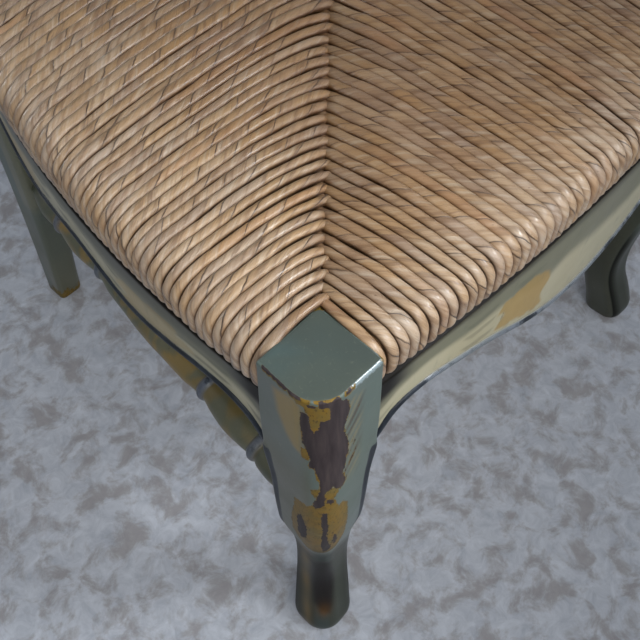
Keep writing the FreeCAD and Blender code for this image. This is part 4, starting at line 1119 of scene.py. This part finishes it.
def apron(name, seed, which, sx=1.0):
    n = 260
    if which == "front":
        tab = np.array(FRONT_EDGE)
        full = np.concatenate([tab, np.stack([2 * FX - tab[:-1][::-1, 0], tab[:-1][::-1, 1]], -1)])
        a_half = math.asin((FX - PH + 1.5) / F_R)
        ang = np.linspace(-a_half, a_half, n)
        nrm = np.stack([np.sin(ang), -np.cos(ang)], -1)          # outward
        C, R = F_C, F_R
        outer = C + nrm * (R - A_SET)
        t = outer[:, 0] + FX
    else:
        full = np.array(SIDE_EDGE)
        a0 = math.atan2(_p0[1] - S_C[1], _p0[0] - S_C[0])
        a1 = math.atan2(_p1[1] - S_C[1], _p1[0] - S_C[0])
        pad = 1.5 / S_R
        ang = np.linspace(a0 - pad, a1 + pad, n)
        nrm = np.stack([np.cos(ang), np.sin(ang)], -1)
        C, R = S_C, S_R
        outer = C + nrm * (R - A_SET)
        t = outer[:, 1] - FY
    depth = cubic(full[:, 0], full[:, 1], t)
    zl = SEAT_Z - depth
    slope = np.gradient(zl, t)
    stretch = np.sqrt(1 + slope**2).clip(1, 3.0)
    bead_w, bead_h = 5.2, 1.9
    # outer face from the top down to the bead, the bead, the bottom, the inner face up, the top
    rows, vs, kinds = [], [], []
    for i in range(n):
        bw = bead_w * stretch[i]
        z0, z1 = zl[i], A_TOP
        face = np.linspace(z1 - 1.2, z0 + bw + 1.6 * stretch[i], 30)
        th = np.linspace(math.pi * 0.5, -math.pi * 0.5, 13)
        ring = [(0.6, z1)] + [(0.0, z) for z in face]
        ring += [(0.55, z0 + bw + 0.7 * stretch[i]), (0.45, z0 + bw + 0.2 * stretch[i])]
        ring += [(0.3 - bead_h * math.cos(a) ** 0.8 if math.cos(a) > 1e-6 else 0.3, z0 + bw / 2 + bw / 2 * math.sin(a)) for a in th[1:-1]]
        ring += [(0.6, z0), (1.6, z0 - 0.2), (A_T * 0.5, z0), (A_T - 1.4, z0), (A_T - 0.3, z0 + 0.6), (A_T, z0 + 1.8)]
        ring += [(A_T, z) for z in np.linspace(z0 + 6, z1 - 1.5, 8)]
        ring += [(A_T - 1.0, z1), (A_T * 0.5, z1)]
        rows.append(ring)
    rows = np.array(rows)
    off = rows[..., 0]
    Z = rows[..., 1]
    XY = C + nrm[:, None] * (R - A_SET - off)[..., None]
    P = np.stack([XY[..., 0], XY[..., 1], Z], -1)
    hgt = (Z - zl[:, None])
    tot = (A_TOP - zl)[:, None]
    v = hgt / tot
    face = (off < 1.0).astype(float)
    bw = bead_w * stretch[:, None]
    on_bead = (1 - sstep(bw * 0.96, bw * 1.12, hgt)) * (off < 1.9)
    nz = Noise1(np.random.RandomState(seed), 34.0, 600.0)(t)[:, None]
    nz2 = Noise1(np.random.RandomState(seed + 1), 52.0, 600.0)(t)[:, None]
    # grey-green upper band, cream and ochre lower band
    split = 0.56 + 0.06 * nz
    upper = sstep(split - 0.09, split + 0.09, v)
    coat = lerp(np.broadcast_to(CREAM * (1.22 if which == "front" else 1.14), P.shape), np.broadcast_to(GREEN_D * 0.6 + KHAKI * 0.45, P.shape), upper)
    if which == "front":
        oz = np.exp(-((t[:, None] - 158.0) / 26.0) ** 4) * (1 - sstep(0.60, 0.74, v)) * sstep(0.10, 0.2, v)
        oz = np.maximum(oz, 0.55 * np.exp(-((2 * FX - t[:, None] - 120.0) / 30.0) ** 4) * (1 - sstep(0.60, 0.74, v)))
    else:
        oz = np.exp(-((t[:, None] - 120.0) / 36.0) ** 4) * (1 - sstep(0.50, 0.70, v)) * 0.8
        oz = np.maximum(oz, np.exp(-((t[:, None] - 300.0) / 40.0) ** 4) * (1 - sstep(0.55, 0.72, v)) * 0.8)
        # painted shade: the upper band of the side apron, under the overhanging rush, is darkened
        coat = lerp(coat, np.broadcast_to(OLIVE * 0.42, P.shape), 0.85 * sstep(0.55, 0.82, v))
    nf = Noise1(np.random.RandomState(seed + 5), 7.0, 600.0)(t)[:, None]
    nf2 = Noise1(np.random.RandomState(seed + 6), 15.0, 600.0)(t)[:, None]
    ragged = 0.16 * nf + 0.18 * np.sin(v * 19.0 + 3.0 * nf2)
    patch = sstep(0.34, 0.50, oz + ragged * (oz > 0.05))
    coat = lerp(coat, np.broadcast_to(OCHRE * 1.22, P.shape), np.clip((0.88 if which == "front" else 0.42) * patch + 0.22 * np.clip(nz2, 0, 1) * (1 - upper), 0, 0.9))
    # long scrapes along the face, some down to the darker coat
    scrape = sstep(0.30, 0.62, np.sin(v * 27.0 + 2.6 * nz2 + 1.2 * nf2) * 0.5 + 0.5 * nf2) * (v > 0.14) * (off < 1.0)
    coat = lerp(coat, np.broadcast_to(OLIVE * 0.8, P.shape), (0.40 if which == "front" else 0.62) * scrape * (1 - patch))
    # painted shade: darkened just below the top, under the overhanging rush
    coat = lerp(coat, np.broadcast_to(UMBER * 0.5, P.shape), sstep(0.88, 0.97, v) * (0.55 if which == "front" else 0.9))
    te = np.minimum(t, 2 * FX - t)[:, None] if which == "front" else t[:, None]
    # painted shade: the top of the apron is darkened beside the legs, under the rush
    coat = lerp(coat, np.broadcast_to(UMBER * 0.14, P.shape), 0.96 * (1 - sstep(34, 58, te)) * sstep(0.60, 0.78, v))
    coat = lerp(coat, np.broadcast_to(np.array(srgb(92, 102, 117)), P.shape), 0.9 * on_bead)
    inside = sstep(1.9, 4.0, off)
    coat = lerp(coat, np.broadcast_to(GREEN_D * 0.8, P.shape), inside)
    # painted shade: beside the legs, below the top, and on the top face, which lies under the rush
    dim = np.clip(0.85 * (1 - sstep(30, 54, te)) * sstep(0.56, 0.76, v) * face + (0.30 if which == "front" else 0.6) * sstep(0.90, 0.97, v) * np.ones_like(te), 0, 0.85)
    top = sstep(0.984, 0.998, v) * (off > 0.3)
    coat = lerp(coat, np.broadcast_to(UMBER * 0.45, P.shape), 0.9 * top)
    dim = np.maximum(dim, 0.93 * top)
    wear = (0.06 + 0.16 * (1 - upper) * (1 - inside) + 0.07 * on_bead) * (1 - top)
    wear = wear + 0.12 * np.clip(nz, 0, 1) * face
    # the bead's dark line is rubbed away in the middle of the span
    line = on_bead * (0.95 - (0.62 if which == "front" else 0.34) * sstep(46, 74, te) * (0.8 + 0.2 * nz))
    if sx < 0:
        P = P * np.array([-1.0, 1.0, 1.0])
    B = Builder()
    flip = (which == "front")
    if flip or sx < 0:
        if not (flip and sx < 0):
            P, wear, coat, line, dim = (q[:, ::-1] for q in (P, wear, coat, line, dim))
    B.grid(P, wear=wear, bare=wear - 0.16, coat=coat, line=line, dim=dim)
    return B.build(name + "_painted", MAT_PAINT, replaces=(name,))


apron("apron_front", 61, "front")
apron("apron_right", 63, "side", 1.0)
apron("apron_left", 65, "side", -1.0)

# ------------------------------------------------------------- stretchers
SIDE_TURN = ((0.0, 8.0), (14.0, 8.0), (20.0, 9.6), (31.0, 12.4), (45.0, 14.4), (56.0, 13.8), (61.6, 12.2), (63.0, 13.9), (66.0, 14.9),
             (69.0, 13.9), (70.4, 12.4), (78.0, 13.4), (98.0, 15.2), (118.0, 13.4), (129.4, 11.6), (131.0, 12.9), (134.0, 13.8),
             (137.0, 12.9), (138.6, 11.8), (156.0, 14.2), (182.0, 15.2), (206.0, 16.2))
SIDE_RINGS = (66.0, 134.0)
CROSS_TURN = ((0.0, 8.0), (10.0, 8.0), (14.0, 9.2), (40.0, 10.8), (70.0, 12.6), (87.4, 11.6), (88.6, 13.0), (90.0, 14.2), (93.5, 15.2),
              (97.0, 14.2), (98.4, 12.8), (99.6, 11.6), (115.0, 13.4), (135.0, 14.6), (155.0, 13.2), (167.4, 11.6), (168.8, 12.9), (170.0, 14.2),
              (173.5, 15.4), (177.0, 14.2), (178.4, 12.8), (179.6, 12.0), (194.0, 14.8))
CROSS_RINGS = (93.5, 173.5)
BACK_TURN = ((0.0, 8.0), (14.0, 8.0), (20.0, 9.0), (60.0, 10.6), (100.0, 12.4), (115.4, 11.4), (116.6, 12.6), (118.0, 13.8), (121.5, 14.8), (125.0, 13.8),
             (126.4, 12.4), (127.8, 11.6), (150.0, 12.8), (168.0, 13.8))
BACK_RINGS = (121.5,)


def stretcher(name, p0, p1, turn, rings, seed):
    p0, p1 = np.array(p0, float), np.array(p1, float)
    L = np.linalg.norm(p1 - p0)
    half = np.array(turn, float)
    tab = np.concatenate([half, np.stack([L - half[::-1, 0], half[::-1, 1]], -1)])
    keep = np.concatenate([[True], np.diff(tab[:, 0]) > 0.5])
    tab = tab[keep]
    s = np.unique(np.concatenate([np.arange(0, L, 3.0), [L]] + [np.linspace(r - 8, r + 8, 33) for r in rings] + [np.linspace(L - r - 8, L - r + 8, 33) for r in rings]))
    r = pchip(tab[:, 0], tab[:, 1], s)
    ns = 36
    th = np.arange(ns) / ns * 2 * math.pi
    w = (p1 - p0) / L
    up = np.array([0.0, 0.0, 1.0])
    a = np.cross(up, w)
    a /= np.linalg.norm(a)
    b = np.cross(w, a)
    P = p0 + s[:, None, None] * w + r[:, None, None] * (np.cos(th)[None, :, None] * a + np.sin(th)[None, :, None] * b)
    near = np.zeros_like(s)
    for q in rings:
        for c in (q, L - q):
            near = np.maximum(near, np.exp(-(((s - c) / 4.6) ** 4)))
    rng = np.random.RandomState(seed)
    nz = Noise1(rng, 32.0, L + 50)(s)[:, None] + 0 * th[None]
    topside = np.repeat(np.clip(np.sin(th), 0, 1)[None], len(s), 0)
    coat = lerp(np.broadcast_to(OLIVE, P.shape), np.broadcast_to(OCHRE, P.shape), np.clip(0.45 + 0.5 * nz, 0, 1))
    nq, nr = Noise1(rng, 19.0, L + 50)(s)[:, None], Noise1(rng, 11.0, L + 50)(s)[:, None]
    blot = sstep(0.25, 0.62, 0.5 + 0.5 * np.sin(2.0 * th[None] + 4.0 * nq) * np.sin(th[None] + 2.5 * nr + s[:, None] / 13.0) + 0.18 * nr)
    coat = lerp(coat, np.broadcast_to(GREEN_D * 1.1, P.shape), 0.72 * (1 - blot))
    coat = lerp(coat, np.broadcast_to(OCHRE * 1.05, P.shape), 0.45 * sstep(0.72, 0.95, blot) * np.clip(0.5 + nq, 0, 1))
    coat = lerp(coat, np.broadcast_to(GREEN_D * 0.8, P.shape), 0.85 * (1 - sstep(rings[0] - 8, rings[0] - 2, np.minimum(s, L - s)))[:, None] * np.ones((1, ns)))
    wear = 0.16 + 0.16 * topside + 0.12 * np.clip(nz, 0, 1)
    coat = lerp(coat, np.broadcast_to(np.array(srgb(88, 96, 112)), P.shape), 0.9 * near[:, None] * np.ones((1, ns)))
    line = np.repeat((0.47 * near)[:, None], ns, 1)
    B = Builder()
    B.grid(P, wear=wear, bare=wear - 0.16, coat=coat, line=line)
    return B.build(name + "_painted", MAT_PAINT_B, replaces=(name,))


leg_mid = (24.2 - 35.6) / 2.0
SZ = 212.0
hit_r = np.array([RX, RY + linear_off(SZ), SZ])
hit_f = np.array([FX - 1.5 + R2 * leg_mid, FY - R2 * leg_mid, SZ])
ax = (hit_r - hit_f) / np.linalg.norm(hit_r - hit_f)
q0, q1 = hit_f + ax * 6.0, hit_r - ax * 6.0
stretcher("stretcher_right", q0, q1, SIDE_TURN, SIDE_RINGS, 71)
mx = np.array([-1.0, 1.0, 1.0])
stretcher("stretcher_left", q0 * mx, q1 * mx, SIDE_TURN, SIDE_RINGS, 72)
mid = (q0 + q1) / 2
ch = mid[0] - 7.0
stretcher("cross_stretcher", (-ch, mid[1], SZ), (ch, mid[1], SZ), CROSS_TURN, CROSS_RINGS, 73)
bh = RX - 5.0
stretcher("stretcher_back", (-bh, RY + linear_off(250.0), 250.0), (bh, RY + linear_off(250.0), 250.0), BACK_TURN, BACK_RINGS, 74)


# ---------------------------------------------- carried construction nodes
def peg_material():
    m = Nodes("peg_ends")
    pos = m.coord("Object")
    g = m.noise(pos, 900.0, 4.0, 0.6, 0.5)
    n2 = m.noise(pos, 180.0, 3.0, 0.6)
    col = m.ramp(g, [(0.3, srgb(70, 66, 50)), (0.7, srgb(112, 104, 74))])
    col = m.mix(m.rng(n2, 0.45, 0.6, 0.0, 0.6), col, srgb(128, 100, 50))
    m.link(col, m.bsdf.inputs["Base Color"])
    m.link(m.rng(g, 0.2, 0.8, 0.36, 0.55, smooth=False), m.bsdf.inputs["Roughness"])
    m.link(m.bump(g, 0.35, 0.0003), m.bsdf.inputs["Normal"])
    return m.mat


MAT_PEG = peg_material()
for nm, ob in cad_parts.items():
    mat = {"slat_pegs": MAT_PEG, "seat_stuffing": MAT_STUFF}.get(nm, MAT_WOOD if nm.startswith("seat_rail") else None)
    if mat is not None:
        if not ob.material_slots:
            ob.data.materials.append(mat)
        for sl in ob.material_slots:
            sl.link = "OBJECT"
            sl.material = mat

# ------------------------------------------------------------------ stage
fm = Nodes("floor_pale")
pos = fm.coord("Object")
tuft = fm.noise(pos, 60.0, 6.0, 0.7, 0.8)
broad = fm.noise(pos, 36.0, 5.0, 0.65, 0.4)
col = fm.ramp(tuft, [(0.30, srgb(170, 175, 185)), (0.50, srgb(188, 192, 200)), (0.72, srgb(204, 208, 216))])
col = fm.mix(fm.rng(broad, 0.44, 0.64, 0.0, 0.62), col, srgb(138, 130, 126))
fm.link(col, fm.bsdf.inputs["Base Color"])
fm.bsdf.inputs["Roughness"].default_value = 0.9
fm.bsdf.inputs["Specular IOR Level"].default_value = 0.2
me = bpy.data.meshes.new("floor")
s = 40.0
me.from_pydata([(-s, -s, 0), (s, -s, 0), (s, s, 0), (-s, s, 0)], [], [(0, 1, 2, 3)])
floor = bpy.data.objects.new("floor", me)
me.materials.append(fm.mat)
bpy.context.scene.collection.objects.link(floor)

world = bpy.data.worlds.new("studio")
bpy.context.scene.world = world
world.use_nodes = True
bg = world.node_tree.nodes["Background"]
bg.inputs[0].default_value = (0.86, 0.92, 1.0, 1.0)
bg.inputs[1].default_value = 0.345


def area(name, loc, target, size, power, color=(1, 1, 1)):
    light = bpy.data.lights.new(name, "AREA")
    light.shape = "RECTANGLE"
    light.size, light.size_y = size
    light.energy = power
    light.color = color
    ob = bpy.data.objects.new(name, light)
    ob.location = loc
    ob.rotation_euler = (Vector(target) - Vector(loc)).to_track_quat("-Z", "Y").to_euler()
    bpy.context.scene.collection.objects.link(ob)
    return ob


corner = Vector((-0.15, -0.15, 0.45))
area("key", tuple(corner + Vector((-0.24, -0.54, 0.48))), tuple(corner + Vector((-0.06, -0.07, 0.0))), (0.64, 0.54), 1.01, (1.0, 0.98, 0.95)).data.spread = 1.3
area("side", tuple(corner + Vector((0.36, -0.64, 0.68)) * 1.2), tuple(corner + Vector((-0.12, -0.11, 0.0))), (0.24, 0.22), 0.42, (0.92, 0.96, 1.0)).data.spread = 0.66
area("fill", (-1.9, -1.0, 1.7), (0.0, 0.0, 0.4), (2.0, 1.6), 3.6, (0.92, 0.96, 1.0))
area("low_right", (1.1, -2.0, 1.0), (0.1, -0.2, 0.2), (1.8, 1.2), 8.0, (0.94, 0.97, 1.0))
area("back_top", (0.2, 1.9, 2.2), (0.0, 0.0, 0.6), (2.2, 1.4), 1.6, (0.96, 0.98, 1.0))

# two narrow soft lights reach only the ladder back
area("back_front", (0.7, -1.7, 1.35), (0.0, 0.24, 0.86), (0.40, 0.34), 0.66, (0.96, 0.98, 1.0)).data.spread = 0.40
area("back_rear", (-1.0, 2.2, 1.1), (0.0, 0.24, 0.82), (0.40, 0.34), 0.90, (0.96, 0.98, 1.0)).data.spread = 0.46

# ----------------------------------------------------------------- camera
PITCH = math.radians(57.3)
YAW = math.radians(43.6)
uf = np.array([math.cos(YAW), math.sin(YAW)])
post = np.array([-FX, FY + YS]) / 1000.0
cam_xy = post - uf * 0.2292
cam_z = 0.455 + 0.393
cam_data = bpy.data.cameras.new("camera")
cam_data.sensor_fit = "HORIZONTAL"
cam_data.sensor_width = 36.0
cam_data.lens = 50.0
cam_data.clip_start = 0.01
cam = bpy.data.objects.new("camera", cam_data)
cam.location = (cam_xy[0], cam_xy[1], cam_z)
fw = Vector((math.cos(PITCH) * uf[0], math.cos(PITCH) * uf[1], -math.sin(PITCH)))
cam.rotation_euler = fw.to_track_quat("-Z", "Y").to_euler()
bpy.context.scene.collection.objects.link(cam)
bpy.context.scene.camera = cam

sc = bpy.context.scene
sc.view_settings.view_transform = "Standard"
sc.view_settings.look = "None"
sc.view_settings.exposure = 0.0
sc.view_settings.gamma = 1.0
